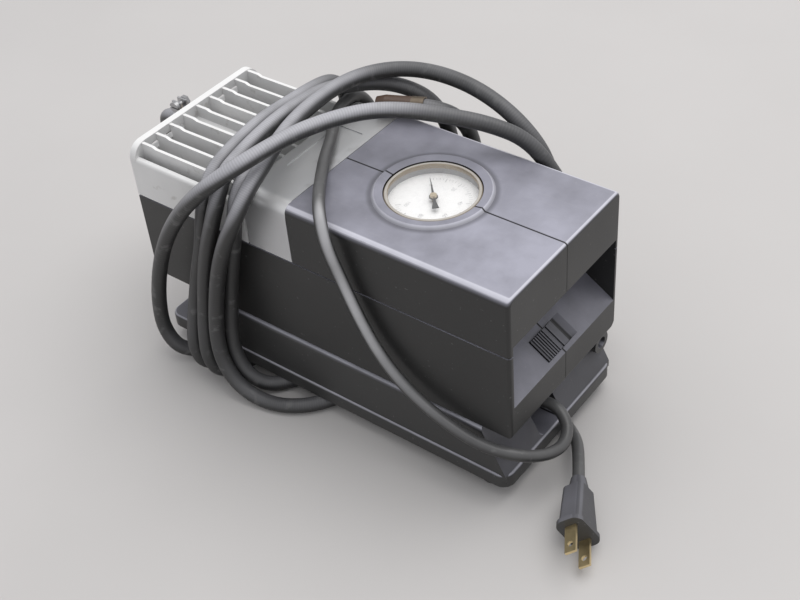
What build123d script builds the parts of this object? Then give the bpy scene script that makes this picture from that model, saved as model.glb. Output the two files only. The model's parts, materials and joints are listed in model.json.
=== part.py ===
"""Portable mains air compressor: clamshell housing, finned pump head, sunk gauge, hose and cord.

Millimetres. X runs along the machine with the nose at +X, Y across it, Z up from the floor.
The origin is on the floor, under the middle of the base.
"""

import os
from math import cos, pi, radians, sin, tan

from build123d import *

os.makedirs("parts", exist_ok=True)

# ---- driving dimensions ---------------------------------------------------------------------
SEAM = 0.3              # gap between the two housing halves
FIT = 0.3               # clearance between pieces that only stand beside each other
TOUCH = 0.02            # clearance between pieces that seat on each other
WALL = 2.6

# base and feet
FOOT_H = 9.2            # taller than the hose that passes under the base
FOOT_R = 8.0
FOOT_INSET_X = 17.0
FOOT_INSET_Y = 14.0
BASE_L = 241.0
BASE_W = 105.4
BASE_T = 8.4
BASE_CORNER_R = 7.0
BASE_RIM_R = 1.6

# body
BODY_W = 101.0
BODY_FRONT = 122.3
BODY_REAR = -125.0
BODY_BOTTOM = 46.8
BODY_TOP = 137.2
TOP_EDGE_R = 4.5
BOTTOM_EDGE_R = 3.0
NOSE_EDGE_R = 2.0
GROOVE_Z = 101.7        # ledge line round the body, and the lower edge of the silver pieces
GROOVE_D = 0.8

# skirt between body and base
SKIRT_REAR = -92.0
SKIRT_W = 103.2
SKIRT_TOP_GAP = 1.2
SKIRT_SHOULDER_R = 3.0
SKIRT_FRONT_TOP = 104.0
SKIRT_WALL = 3.0
NECK_INSET = 4.0
CORD_SLOT_Y0 = -18.0
CORD_SLOT_Y1 = 3.0
CORD_SLOT_TOP = 40.0

# nose recess with the switch on its ramp
LIP_TOP = 66.6
RAMP_ANGLE = 33.0
RAMP_T = 5.4
RECESS_DEPTH = 37.3
OVERHANG_Z = 107.0
CHEEK_T = 3.0
LIP_END_R = 9.0
LIP_END_L = 24.0

# switch, laid out on the ramp: across is Y, along is up the slope from the lip
SLOT_Y0 = -12.6
SLOT_Y1 = 10.2
SLOT_LOW = 2.6
SLOT_HIGH = 17.0
SLOT_BEVEL = 4.4
SLOT_SINK = 2.6
SLIDER_L = 18.6
SLIDER_RISE = 1.8
SLIDER_RIB = 0.8
SLIDER_RIBS = 6
SLIDER_RIB_PITCH = 1.7
SLIDER_RIDGE = 1.2
SWITCH_TRAVEL = 3.5
STEM_L = 6.0
STEM_W = 4.0
SWITCH_BODY_L = 24.0
SWITCH_BODY_W = 12.0
SWITCH_BODY_D = 13.0
SWITCH_SLIT = 3.6       # depth of the stem's slit in the switch body

# accessory socket beside the nose
SOCKET_OD = 13.0
SOCKET_ID = 7.0
SOCKET_L = 30.0
SOCKET_Y = 46.0
SOCKET_Z = 34.4
SOCKET_FRONT = 117.0
SOCKET_DEPTH = 22.0

# gauge
GAUGE_X = 43.7
GAUGE_R = 25.2
GAUGE_RING_R = 31.5
GAUGE_RING_H = 1.6
GAUGE_WELL_T = 2.4
GAUGE_SHELF = 3.0
GAUGE_DEPTH = 16.0
CASE_T = 1.2
BEZEL_LIP_R = 22.9
BEZEL_H = 3.4
BEZEL_TOP = BODY_TOP + 0.5
LENS_T = 1.4
DIAL_Z = BODY_TOP - 6.0
DIAL_T = 0.8
POINTER_RISE = 2.4      # underside of the pointer above the dial
POINTER_T = 0.5
POINTER_L = 17.5
POINTER_W = 1.5
POINTER_TAIL = 9.5
TAIL_W = 3.6
HUB_R = 2.3
HUB_H = 1.2
SPINDLE_R = 0.9
GAUGE_REST = 132.0      # direction of the pointer at rest, from +X
GAUGE_STEM_R = 6.0
GAUGE_STEM_L = 9.0

# silver band and finned head
BAND_FRONT = -12.0
BAND_REAR = -41.4
BAND_T = 2.4
BAND_EDGE_R = 8.0
PANEL_L = 17.0
PANEL_W = 44.0
PANEL_D = 0.7
HEAD_TOP = 134.0
HEAD_GAP = 1.2
END_PLATE_T = 4.2
END_PLATE_R = 9.0
HEAD_FLOOR = 118.0
HEAD_PLATE_T = 3.5
HEAD_SIDE_T = 3.0
HEAD_SIDE_TOP = 126.5
FIN_COUNT = 9
FIN_PITCH = 10.73
FIN_T = 1.8
FIN_LAND = 8.0
FIN_DIP = 0.9
FIN_STEP = 2.5
FIN_FRONT_GAP = 2.6
VENT_Y0 = 12.0
VENT_Y1 = 38.0
VENT_H = 4.0
VENT_Z = 127.0

# pump
PUMP_X = -76.0
SHAFT_R = 4.0
CRANK_THROW = 4.0
CRANK_PIN_R = 3.0
CRANK_R = 13.0
CRANK_T = 6.0
ROD_T = 6.0
ROD_GAP = 1.0
ROD_RIM = 4.0
ROD_NECK_W = 12.0
PIN_CLEARANCE = 0.4
BORE_R = 17.0
SLEEVE_T = 3.0
SLEEVE_BOTTOM = 90.0
SLEEVE_TOP = 112.0
PISTON_GAP = 0.6
PISTON_H = 6.2
PISTON_SIDE_GAP = 0.8
SEAL_FIT = 0.08
SEAL_H = 2.2
SEAL_T = 2.2
VALVE_PLATE_T = 2.0
GASKET_T = 0.5
REED_T = 0.2
REED_W = 8.0
REED_L = 18.0
PORT_R = 2.5
PLENUM_R = 14.0
PLENUM_D = 1.8
DECK_Z = 96.0
DECK_T = 4.0
DECK_L = 60.0
DECK_W = 66.0
CASE_WALL_GAP = 2.0     # between the sleeve and the wall that holds the crank bearing
CASE_WALL_T = 9.0
CASE_WALL_W = 62.0
STUD_X = 24.0
STUD_Y = 2.5 * FIN_PITCH
STUD_R = 2.0
STUD_HEAD_R = 3.4
STUD_HEAD_H = 3.0
BEARING_R = 9.5
BEARING_T = 7.0

# motor
MOTOR_REAR = -14.0
MOTOR_FRONT = 50.0
MOTOR_R = 26.0
MOTOR_FLOOR_GAP = 2.6
CAN_T = 2.0
BELL_T = 5.0
BELL_BOSS_R = 12.5
BELL_BOSS_T = 5.0
STATOR_T = 8.6
STATOR_L = 36.0
AIR_GAP = 0.5
ROTOR_X = 16.0          # middle of the stator and of the rotor
ROTOR_SLOTS = 10
COMMUTATOR_R = 8.0
COMMUTATOR_L = 9.0
FAN_R = 23.0
FAN_HUB_R = 7.0
FAN_T = 8.0
FAN_X = 60.0
FAN_BLADES = 9
FAN_BLADE_T = 1.2
RIB_T = 3.0
RIB_FRONT_X = 36.0

# screws that hold the housing halves together, entered from the +Y side
SCREW_PLACES = [(86.0, 56.0), (103.0, 116.5), (2.0, 126.0), (-30.0, 57.0), (-116.0, 57.0)]
SCREW_R = 1.5
SCREW_HEAD_R = 3.0
SCREW_HEAD_H = 2.4
SCREW_SINK = 6.0
PILLAR_R = 4.6

# outlet
OUTLET_Z = 120.0
OUTLET_BOSS_R = 6.5
OUTLET_BORE_R = 2.2
BARB_THREAD_R = 4.0
BARB_THREAD_L = 8.0
COLLAR_R = 7.2
COLLAR_T = 4.6
NIPPLE_R = 2.6
NIPPLE_L = 13.0

# hose with its clamp and chuck
HOSE_D = 8.5
CLAMP_REAR = -138.4
CLAMP_W = 7.0
CLAMP_T = 0.9
EAR_TOP = 132.0
EAR_T = 1.2
EAR_GAP = 3.0
CLAMP_SCREW_R = 1.5
CLAMP_HEAD_R = 3.2
CLAMP_HEAD_T = 2.4
CHUCK_STEM_L = 8.0
CHUCK_STEM_IN = 6.4
FERRULE_T = 0.8
CHUCK_R = 4.8
CHUCK_L = 15.0
CHUCK_NOSE_R = 3.6
CHUCK_NOSE_L = 5.0
CHUCK_BORE_R = 2.9
CHUCK_BORE_L = 9.0
GROMMET_T = 2.0
GROMMET_BORE_R = 1.6

# power cord with its bushing and plug
CORD_D = 6.5
BUSHING_R = 6.4
BUSHING_TIP_R = 4.1
BUSHING_TIP_X = 111.0
BUSHING_PLATE_W = 26.0
BUSHING_PLATE_H = 26.0
BUSHING_PLATE_T = 4.0
PLUG_ROLL = 57.0        # the plug leans on one long edge
PLUG_RELIEF_L = 8.0
PLUG_RELIEF_R = 4.0
PLUG_SHOULDER_R = 5.6
PLUG_L = 27.0
PLUG_REAR_W = 14.0
PLUG_REAR_H = 12.0
PLUG_FRONT_W = 19.5
PLUG_FRONT_H = 13.0
PLUG_FACE_W = 23.5
PLUG_FACE_H = 15.0
PLUG_FLANGE_T = 2.6
PLUG_REAR_CORNER_R = 3.0
PLUG_CORNER_R = 5.0
BLADE_W = 6.35
BLADE_T = 1.5
BLADE_L = 16.0
BLADE_ROOT = 8.0
BLADE_PITCH = 12.7
BLADE_HOLE_R = 1.6
BLADE_HOLE_AT = 11.2
BEND_SHARE = 0.45       # share of the shorter run that each bend takes up

# centreline of the hose: outlet, four loops round the body and the base, chuck
HOSE_POINTS = [
    (-129.7, 0, 120), (-146, 0, 120), (-157, 5, 107), (-161, 15, 85), (-159, 30, 60),
    (-152, 49, 35), (-138, 71, 14), (-116, 90, 5), (-86, 102, 4.8), (-54, 107, 4.9),
    (-20, 108, 4.8), (14, 106, 5.2), (48, 99, 9), (76, 87, 23), (90, 76, 47), (93, 68, 75),
    (89, 62.5, 101), (80, 58.5, 124), (66.5, 52.5, 146), (49, 41.5, 156), (30, 30, 161),
    (13, 21, 163.5), (-3, 10, 164), (-15, -8, 164), (-23, -27, 163.5), (-28, -47, 162),
    (-37, -63, 156), (-55, -69, 139.5), (-74, -69, 117.5), (-90, -68, 93), (-101, -67.5, 68),
    (-108, -67.5, 43), (-109, -68, 22), (-100.5, -66.5, 8.5), (-91, -56, 4.6), (-81, -35, 4.6),
    (-77, -12, 4.6), (-76, 12, 4.6), (-77, 36, 4.6), (-74, 60, 4.7), (-63, 80, 4.8), (-41, 93, 4.9),
    (-14, 98, 4.9), (12, 96, 7), (35, 89, 16), (54, 81, 33), (66, 74.5, 54), (71.5, 70.5, 79),
    (73, 68.5, 104), (68, 67.5, 126), (56, 66.5, 141), (38, 67, 151), (18, 68, 155.5),
    (-3, 66.5, 157), (-21, 60, 157), (-34, 47, 156.5), (-40, 30, 156), (-41.5, 11, 155),
    (-40, -8, 154), (-36, -26, 152.5), (-31, -43, 150), (-30, -57, 144), (-33, -65, 131),
    (-41, -67, 115), (-49, -67, 97), (-55, -67, 79), (-58.5, -68.5, 60), (-60, -70.5, 42),
    (-58.5, -71.5, 25), (-50, -71.5, 11), (-36, -70, 4.7), (-19, -66, 4.7), (-5, -54, 4.6),
    (4, -37, 4.6), (8, -16, 4.6), (9, 8, 4.6), (8, 32, 4.6), (8, 58, 4.6), (8.5, 69, 14),
    (8, 67, 36), (7, 67, 60), (7, 67.5, 84), (8, 67, 106), (5, 66.5, 126), (-3, 63.5, 141),
    (-17, 60, 146.5), (-31, 54.5, 148), (-42, 43.5, 149), (-48.5, 29, 151.3), (-51.5, 12, 151.5),
    (-52, -6, 151.2), (-50.5, -24, 150.7), (-48, -41, 150), (-47, -55, 147), (-47, -62.5, 135),
    (-54, -65, 114), (-61, -65, 95), (-66.5, -65, 76), (-69.5, -66.5, 57), (-70.5, -69.5, 39),
    (-70, -71.5, 22), (-68, -68, 9), (-64.5, -56, 4.6), (-60, -40, 4.6), (-57, -20, 4.6),
    (-55, 2, 4.6), (-52, 24, 4.6), (-50, 47, 4.6), (-51, 58.5, 5.2), (-54.5, 66, 14.5),
    (-57.5, 66.5, 30), (-60.5, 63, 50), (-62.5, 60, 72), (-63, 59, 94), (-62.5, 60, 114),
    (-62, 60, 129), (-62, 57.5, 140.5), (-65, 48.5, 148), (-68, 35, 146), (-69, 18, 143),
    (-69, 0, 142), (-67, -17, 142), (-64, -33, 142), (-62, -47, 140.5), (-61.5, -58, 130),
    (-65, -59.5, 112), (-69.5, -59.8, 94), (-76, -60, 76), (-79.5, -62.5, 58), (-81, -66.5, 41),
    (-81.5, -70, 26), (-80, -69, 12), (-76, -60, 4.7), (-74, -45, 4.6), (-69.5, -24, 4.6),
    (-67, -1, 4.6), (-67.5, 22, 4.6), (-65, 44, 4.6), (-62.5, 61.5, 4.7), (-54, 74, 7),
    (-46, 80.5, 17), (-43, 79, 34), (-44, 74, 53), (-47, 67, 72), (-50.5, 61, 92), (-52, 58.5, 112),
    (-52, 59, 127), (-52.5, 55, 139), (-53.5, 43, 144.5), (-54.5, 27, 142.5), (-54, 8, 142),
    (-50, -12, 142), (-44.5, -31, 142.3), (-42, -44, 142.5), (-40, -54.5, 137.5), (-41, -58, 125),
    (-45, -57.5, 110), (-48.5, -58.3, 94), (-54, -57.5, 76), (-57, -58.5, 58), (-58.5, -60.5, 41),
    (-57.5, -62.5, 26), (-51, -63, 12.5), (-39, -59, 5), (-28, -46, 4.6), (-19, -26, 4.6),
    (-14, -3, 4.6), (-13, 20, 4.6), (-10.5, 43, 4.6), (-6, 62, 4.8), (3, 73, 6), (14, 77.5, 14),
    (20, 75.5, 31), (21.5, 71.5, 52), (21, 68, 76), (22, 66, 100), (23.5, 65, 122), (19, 60.5, 138),
    (8.3, 51.5, 146.6), (-3, 47.5, 146),
]

# centreline of the power cord: bushing, one loop round the body, plug
CORD_POINTS = [
    (93.5, -6, 30), (107, -6, 30), (120.5, -5, 31), (130.5, -10, 26.5), (135.5, -22, 24.5),
    (133, -37, 29), (124, -50, 35.5), (106, -57, 40), (84, -57.5, 46), (64, -57, 55),
    (47, -56.5, 70), (35, -56, 90), (26, -56, 112), (20, -57.5, 132), (13, -52, 146), (3, -39, 147),
    (-8, -25, 142), (-18, -10.5, 140.9), (-26, 4.5, 140.8), (-35, 18, 140.8), (-42, 31, 140.8),
    (-44, 47, 141), (-42.5, 57.2, 130.5), (-37, 56, 113), (-29, 55, 90), (-20, 55, 66),
    (-8, 56, 43), (6, 57.5, 23), (20, 59.5, 6.5), (36, 47, 3.6), (56, 36, 3.6), (78, 25, 3.6),
    (96, 18.5, 3.6), (109, 13.5, 3.6), (119.5, 7.5, 4.3), (127.3, 1, 7.5), (134.2, -6.5, 11),
    (141.3, -17.1, 12.3), (148, -28.3, 12.3),
]

# ---- derived values -------------------------------------------------------------------------
BASE_TOP = FOOT_H + BASE_T
BODY_L = BODY_FRONT - BODY_REAR
SKIRT_TOP = BODY_BOTTOM - SKIRT_TOP_GAP
SKIRT_HOLLOW_FRONT = SKIRT_FRONT_TOP - 3 * SKIRT_WALL
FLOOR_TOP = BODY_BOTTOM + WALL
RECESS_BACK = BODY_FRONT - RECESS_DEPTH
RAMP_SLOPE = tan(radians(RAMP_ANGLE))
RAMP_TOP = LIP_TOP + RECESS_DEPTH * RAMP_SLOPE
RAMP_DROP = RAMP_T / cos(radians(RAMP_ANGLE))
HEAD_FRONT = BAND_REAR - HEAD_GAP
HEAD_L = HEAD_FRONT - BODY_REAR
FIN_REAR = BODY_REAR + END_PLATE_T
SHAFT_Z = FLOOR_TOP + MOTOR_FLOOR_GAP + MOTOR_R
CASE_WALL_X = PUMP_X + BORE_R + SLEEVE_T + CASE_WALL_GAP
PISTON_R = BORE_R - PISTON_SIDE_GAP
PISTON_TOP = SLEEVE_TOP - PISTON_GAP
VALVE_PLATE_TOP = SLEEVE_TOP + VALVE_PLATE_T
GAUGE_HOLE_R = GAUGE_R + FIT
CASE_BOTTOM = BEZEL_TOP - GAUGE_DEPTH
LENS_TOP = BEZEL_TOP - 1.0
RAMP = Plane(
    origin=(BODY_FRONT, 0, LIP_TOP),
    x_dir=(0, 1, 0),
    z_dir=(sin(radians(RAMP_ANGLE)), 0, cos(radians(RAMP_ANGLE))),
)
RAMP_SIDE = Plane(origin=RAMP.origin, x_dir=RAMP.x_dir, z_dir=-RAMP.y_dir)


def save(builder, name):
    """Label a finished piece and write it to its own file."""
    builder.part.label = name
    export_step(builder.part, f"parts/{name}.step")


def section(plane, width, bottom, top, top_r, bottom_r):
    """Outline across the machine, with its own corner radii above and below."""
    with BuildSketch(plane, mode=Mode.PRIVATE) as outline:
        with Locations((0, (bottom + top) / 2)):
            Rectangle(width, top - bottom)
        corners = outline.vertices().group_by(Axis.Y)
        if top_r:
            fillet(corners[-1], top_r)
        if bottom_r:
            fillet(corners[0], bottom_r)
    return outline.sketch


def side_profile(points, y=0.0):
    """Closed outline in a plane along the machine, from (x, z) points."""
    with BuildSketch(Plane.XZ.offset(-y), mode=Mode.PRIVATE) as outline:
        with BuildLine():
            Polyline(*points, close=True)
        make_face()
    return outline.sketch


# ---- housing --------------------------------------------------------------------------------
with BuildPart() as housing:
    # base plate and its upright rim
    with BuildSketch(Plane.XY.offset(FOOT_H)):
        RectangleRounded(BASE_L, BASE_W, BASE_CORNER_R)
    extrude(amount=BASE_T)
    fillet(housing.faces().sort_by(Axis.Z)[-1].edges(), BASE_RIM_R)

    # skirt: upright at the sides and the rear, sloping at the front
    skirt_points = [
        (SKIRT_REAR, FOOT_H + BASE_T / 2),
        (BASE_L / 2 - BASE_RIM_R, FOOT_H + BASE_T / 2),
        (BASE_L / 2 - BASE_RIM_R, BASE_TOP),
        (SKIRT_FRONT_TOP, SKIRT_TOP),
        (SKIRT_REAR, SKIRT_TOP),
    ]
    extrude(side_profile(skirt_points), amount=SKIRT_W / 2, both=True)
    shoulders = (
        housing.edges()
        .filter_by(Axis.X)
        .filter_by_position(Axis.Z, SKIRT_TOP - TOUCH, SKIRT_TOP + TOUCH)
    )
    fillet(shoulders, SKIRT_SHOULDER_R)

    # body block with rounded edges
    extrude(
        section(
            Plane.YZ.offset(BODY_REAR), BODY_W, BODY_BOTTOM, BODY_TOP, TOP_EDGE_R, BOTTOM_EDGE_R
        ),
        amount=BODY_L,
    )
    fillet(housing.faces().sort_by(Axis.X)[-1].edges(), NOSE_EDGE_R)

    # neck that joins skirt and body behind the shadow line
    with BuildSketch(Plane.XY.offset(SKIRT_TOP - SKIRT_WALL)):
        with Locations(((SKIRT_REAR + SKIRT_FRONT_TOP) / 2, 0)):
            Rectangle(SKIRT_FRONT_TOP - SKIRT_REAR - 2 * NECK_INSET, BODY_W - 2 * NECK_INSET)
    extrude(amount=SKIRT_WALL + SKIRT_TOP_GAP + WALL / 2)

    # hollow of the body
    extrude(
        section(
            Plane.YZ.offset(BODY_REAR + WALL),
            BODY_W - 2 * WALL,
            FLOOR_TOP,
            BODY_TOP - WALL,
            TOP_EDGE_R - WALL,
            0,
        ),
        amount=BODY_L - 2 * WALL,
        mode=Mode.SUBTRACT,
    )
    # hollow of the skirt, where the cord enters
    with BuildSketch(Plane.XY.offset(FOOT_H + WALL)):
        with Locations(((SKIRT_REAR + SKIRT_FRONT_TOP) / 2 - SKIRT_WALL, 0)):
            Rectangle(
                SKIRT_FRONT_TOP - SKIRT_REAR - 4 * SKIRT_WALL, SKIRT_W - 2 * SKIRT_WALL
            )
    extrude(amount=SKIRT_TOP - SKIRT_WALL - FOOT_H - WALL, mode=Mode.SUBTRACT)

    # opening under the nose that the cord leaves through
    with BuildSketch(Plane.YZ.offset(SKIRT_HOLLOW_FRONT - SKIRT_WALL)):
        with Locations(((CORD_SLOT_Y0 + CORD_SLOT_Y1) / 2, (BASE_TOP + CORD_SLOT_TOP) / 2)):
            RectangleRounded(
                CORD_SLOT_Y1 - CORD_SLOT_Y0, CORD_SLOT_TOP - BASE_TOP, SKIRT_SHOULDER_R
            )
    extrude(amount=BASE_L / 4, mode=Mode.SUBTRACT)

    # nose: thick liner behind the recess, then the recess itself between two thin cheeks
    liner_points = [
        (BODY_FRONT - WALL / 2, LIP_TOP - RAMP_DROP + WALL / 2 * RAMP_SLOPE),
        (RECESS_BACK - WALL, RAMP_TOP - RAMP_DROP + WALL * RAMP_SLOPE),
        (RECESS_BACK - WALL, OVERHANG_Z + WALL),
        (BODY_FRONT - WALL / 2, OVERHANG_Z + WALL),
    ]
    extrude(side_profile(liner_points), amount=BODY_W / 2 - WALL / 2, both=True)
    with BuildSketch(Plane.YZ.offset(BODY_FRONT - WALL - LIP_END_L)):
        with Locations((BODY_W / 2 - WALL / 2, BODY_BOTTOM + WALL / 2)):
            Rectangle(2 * LIP_END_R, LIP_END_R, align=(Align.MAX, Align.MIN))
    extrude(amount=LIP_END_L + WALL / 2)
    recess_points = [
        (BODY_FRONT, LIP_TOP),
        (RECESS_BACK, RAMP_TOP),
        (RECESS_BACK, OVERHANG_Z),
        (BODY_FRONT + WALL, OVERHANG_Z),
        (BODY_FRONT + WALL, LIP_TOP),
    ]
    extrude(
        side_profile(recess_points),
        amount=BODY_W / 2 - CHEEK_T,
        both=True,
        mode=Mode.SUBTRACT,
    )

    # rounded lower end of the lip, above the accessory socket
    with BuildSketch(Plane.YZ.offset(BODY_FRONT - LIP_END_L)):
        with Locations((BODY_W / 2 + TOUCH, BODY_BOTTOM - TOUCH)):
            Rectangle(LIP_END_R, LIP_END_R, align=(Align.MAX, Align.MIN))
        with Locations((BODY_W / 2 - LIP_END_R, BODY_BOTTOM + LIP_END_R)):
            Circle(LIP_END_R, mode=Mode.SUBTRACT)
    extrude(amount=LIP_END_L + WALL, mode=Mode.SUBTRACT)

    # slot of the slide switch, with a sloping end
    with BuildSketch(RAMP_SIDE.offset(-SLOT_HIGH)):
        with BuildLine():
            Polyline(
                (SLOT_Y0, TOUCH),
                (SLOT_Y0, -SLOT_SINK),
                (SLOT_Y1, -SLOT_SINK),
                (SLOT_Y1 + SLOT_BEVEL, TOUCH),
                close=True,
            )
        make_face()
    extrude(amount=SLOT_HIGH - SLOT_LOW, mode=Mode.SUBTRACT)
    with BuildSketch(RAMP.offset(-SLOT_SINK)):
        with Locations((SLOT_Y0 + SLIDER_L / 2 + SWITCH_TRAVEL / 2, (SLOT_LOW + SLOT_HIGH) / 2)):
            Rectangle(STEM_L + SWITCH_TRAVEL + 4 * FIT, STEM_W + 2 * FIT)
    extrude(amount=-RAMP_T, mode=Mode.SUBTRACT)

    # raised, dished ring round the gauge, with its well and shelf
    with BuildSketch(Plane.XZ) as ring_profile:
        with BuildLine():
            Polyline(
                (GAUGE_X + GAUGE_HOLE_R - GAUGE_SHELF, CASE_BOTTOM - TOUCH),
                (GAUGE_X + GAUGE_HOLE_R, CASE_BOTTOM - TOUCH),
                (GAUGE_X + GAUGE_HOLE_R, BODY_TOP + GAUGE_RING_H / 2),
                (GAUGE_X + GAUGE_RING_R - GAUGE_RING_H, BODY_TOP + GAUGE_RING_H),
                (GAUGE_X + GAUGE_RING_R, BODY_TOP),
                (GAUGE_X + GAUGE_RING_R, BODY_TOP - WALL / 2),
                (GAUGE_X + GAUGE_HOLE_R + GAUGE_WELL_T, BODY_TOP - WALL),
                (GAUGE_X + GAUGE_HOLE_R + GAUGE_WELL_T, CASE_BOTTOM - GAUGE_WELL_T),
                (GAUGE_X + GAUGE_HOLE_R - GAUGE_SHELF, CASE_BOTTOM - GAUGE_WELL_T),
                close=True,
            )
        make_face()
    revolve(axis=Axis((GAUGE_X, 0, 0), (0, 0, 1)))
    with BuildSketch(Plane.XY.offset(CASE_BOTTOM - TOUCH)):
        with Locations((GAUGE_X, 0)):
            Circle(GAUGE_HOLE_R)
    extrude(amount=GAUGE_DEPTH + GAUGE_RING_H + WALL, mode=Mode.SUBTRACT)

    # ribs that carry the motor
    for rib_x in (BAND_FRONT, RIB_FRONT_X):
        with BuildSketch(Plane.YZ.offset(rib_x)):
            with Locations((0, (FLOOR_TOP + BODY_TOP - WALL) / 2)):
                Rectangle(BODY_W - WALL, BODY_TOP - BODY_BOTTOM - WALL)
            with Locations((0, SHAFT_Z)):
                Circle(MOTOR_R + TOUCH, mode=Mode.SUBTRACT)
            if rib_x == RIB_FRONT_X:
                with Locations((0, BODY_TOP)):
                    Rectangle(
                        2 * (GAUGE_HOLE_R + GAUGE_WELL_T),
                        2 * (BODY_TOP - CASE_BOTTOM + GAUGE_WELL_T + GAUGE_STEM_L),
                        mode=Mode.SUBTRACT,
                    )
        extrude(amount=RIB_T)

    # pillars of the housing screws
    for screw_x, screw_z in SCREW_PLACES:
        with BuildSketch(Plane.XZ.offset(-(BODY_W - WALL) / 2)):
            with Locations((screw_x, screw_z)):
                Circle(PILLAR_R)
        extrude(amount=BODY_W - WALL)
    for screw_x, screw_z in SCREW_PLACES:
        with BuildSketch(Plane.XZ.offset(-BODY_W)):
            with Locations((screw_x, screw_z)):
                Circle(SCREW_HEAD_R + FIT)
        extrude(amount=BODY_W / 2 + SCREW_SINK, mode=Mode.SUBTRACT)
        with BuildSketch(Plane.XZ.offset(-BODY_W)):
            with Locations((screw_x, screw_z)):
                Circle(SCREW_R + TOUCH)
        extrude(amount=1.5 * BODY_W - 2 * WALL, mode=Mode.SUBTRACT)

    # accessory socket
    with BuildSketch(Plane.YZ.offset(SOCKET_FRONT)):
        with Locations((SOCKET_Y, SOCKET_Z)):
            Circle(SOCKET_OD / 2)
    extrude(amount=-SOCKET_L)
    with BuildSketch(Plane.YZ.offset(SOCKET_FRONT)):
        with Locations((SOCKET_Y, SOCKET_Z)):
            Circle(SOCKET_ID / 2)
    extrude(amount=-SOCKET_DEPTH, mode=Mode.SUBTRACT)

    # ledge line along both sides and round the nose
    with BuildSketch(Plane.XY.offset(GROOVE_Z)):
        with Locations(((BODY_FRONT + BODY_REAR) / 2, 0)):
            Rectangle(BODY_L + 2 * WALL, BODY_W + 2 * WALL)
            Rectangle(BODY_L - 2 * GROOVE_D, BODY_W - 2 * GROOVE_D, mode=Mode.SUBTRACT)
    extrude(amount=-GROOVE_D, mode=Mode.SUBTRACT)

    # open top behind the band's front edge, where the silver pieces sit
    with BuildSketch(Plane.XY.offset(GROOVE_Z)):
        with Locations((BAND_FRONT, 0)):
            Rectangle(BODY_L, BODY_W + 2 * WALL, align=(Align.MAX, Align.CENTER))
    extrude(amount=BODY_TOP, mode=Mode.SUBTRACT)

with BuildPart() as housing_left:
    add(housing.part)
    split(bisect_by=Plane.XZ.offset(SEAM / 2), keep=Keep.TOP)
save(housing_left, "housing_left")

with BuildPart() as housing_right:
    add(housing.part)
    split(bisect_by=Plane.XZ.offset(-SEAM / 2), keep=Keep.BOTTOM)
save(housing_right, "housing_right")

with BuildPart() as housing_screws:
    for screw_x, screw_z in SCREW_PLACES:
        head_y = SCREW_SINK - BODY_W / 2
        with BuildSketch(Plane.XZ.offset(head_y)):
            with Locations((screw_x, screw_z)):
                Circle(SCREW_HEAD_R)
        extrude(amount=-SCREW_HEAD_H)
        with BuildSketch(Plane.XZ.offset(head_y)):
            with Locations((screw_x, screw_z)):
                Circle(SCREW_R)
        extrude(amount=BODY_W / 2 + WALL)
save(housing_screws, "housing_screws")

with BuildPart() as rubber_feet:
    with BuildSketch():
        with GridLocations(BASE_L - 2 * FOOT_INSET_X, BASE_W - 2 * FOOT_INSET_Y, 2, 2):
            Circle(FOOT_R)
    extrude(amount=FOOT_H, taper=3)
save(rubber_feet, "rubber_feet")

# ---- gauge ----------------------------------------------------------------------------------
GAUGE_AXIS = Axis((GAUGE_X, 0, 0), (0, 0, 1))

with BuildPart() as gauge_case:
    with BuildSketch(Plane.XY.offset(CASE_BOTTOM)):
        with Locations((GAUGE_X, 0)):
            Circle(GAUGE_R)
    extrude(amount=GAUGE_DEPTH - BEZEL_H - TOUCH)
    with BuildSketch(Plane.XY.offset(CASE_BOTTOM + CASE_T)):
        with Locations((GAUGE_X, 0)):
            Circle(GAUGE_R - CASE_T)
    extrude(amount=GAUGE_DEPTH, mode=Mode.SUBTRACT)
    with BuildSketch(Plane.XY.offset(CASE_BOTTOM)):
        with Locations((GAUGE_X, 0)):
            Circle(GAUGE_STEM_R)
    extrude(amount=-GAUGE_STEM_L)
save(gauge_case, "gauge_case")

with BuildPart() as gauge_dial:
    with BuildSketch(Plane.XY.offset(DIAL_Z - DIAL_T)):
        with Locations((GAUGE_X, 0)):
            Circle(GAUGE_R - CASE_T - TOUCH)
            Circle(SPINDLE_R + FIT, mode=Mode.SUBTRACT)
    extrude(amount=DIAL_T)
save(gauge_dial, "gauge_dial")

with BuildPart() as gauge_movement:
    with BuildSketch(Plane.XY.offset(CASE_BOTTOM + CASE_T + TOUCH)):
        with Locations((GAUGE_X, 0)):
            Circle(GAUGE_R - 6 * CASE_T)
            Circle(SPINDLE_R + TOUCH, mode=Mode.SUBTRACT)
    extrude(amount=DIAL_Z - DIAL_T - CASE_BOTTOM - CASE_T - 2 * TOUCH)
save(gauge_movement, "gauge_movement")

with BuildPart() as gauge_bezel:
    with BuildSketch(Plane.XZ):
        with BuildLine():
            Polyline(
                (GAUGE_X + GAUGE_R, BEZEL_TOP - BEZEL_H),
                (GAUGE_X + GAUGE_R, BEZEL_TOP - 0.6),
                (GAUGE_X + GAUGE_R - 0.6, BEZEL_TOP),
                (GAUGE_X + BEZEL_LIP_R + 0.4, BEZEL_TOP),
                (GAUGE_X + BEZEL_LIP_R, LENS_TOP + TOUCH),
                (GAUGE_X + GAUGE_R - CASE_T, LENS_TOP + TOUCH),
                (GAUGE_X + GAUGE_R - CASE_T, BEZEL_TOP - BEZEL_H),
                close=True,
            )
        make_face()
    revolve(axis=GAUGE_AXIS)
save(gauge_bezel, "gauge_bezel")

with BuildPart() as gauge_lens:
    with BuildSketch(Plane.XY.offset(LENS_TOP - LENS_T)):
        with Locations((GAUGE_X, 0)):
            Circle(GAUGE_R - CASE_T - TOUCH)
    extrude(amount=LENS_T)
save(gauge_lens, "gauge_lens")

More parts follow.
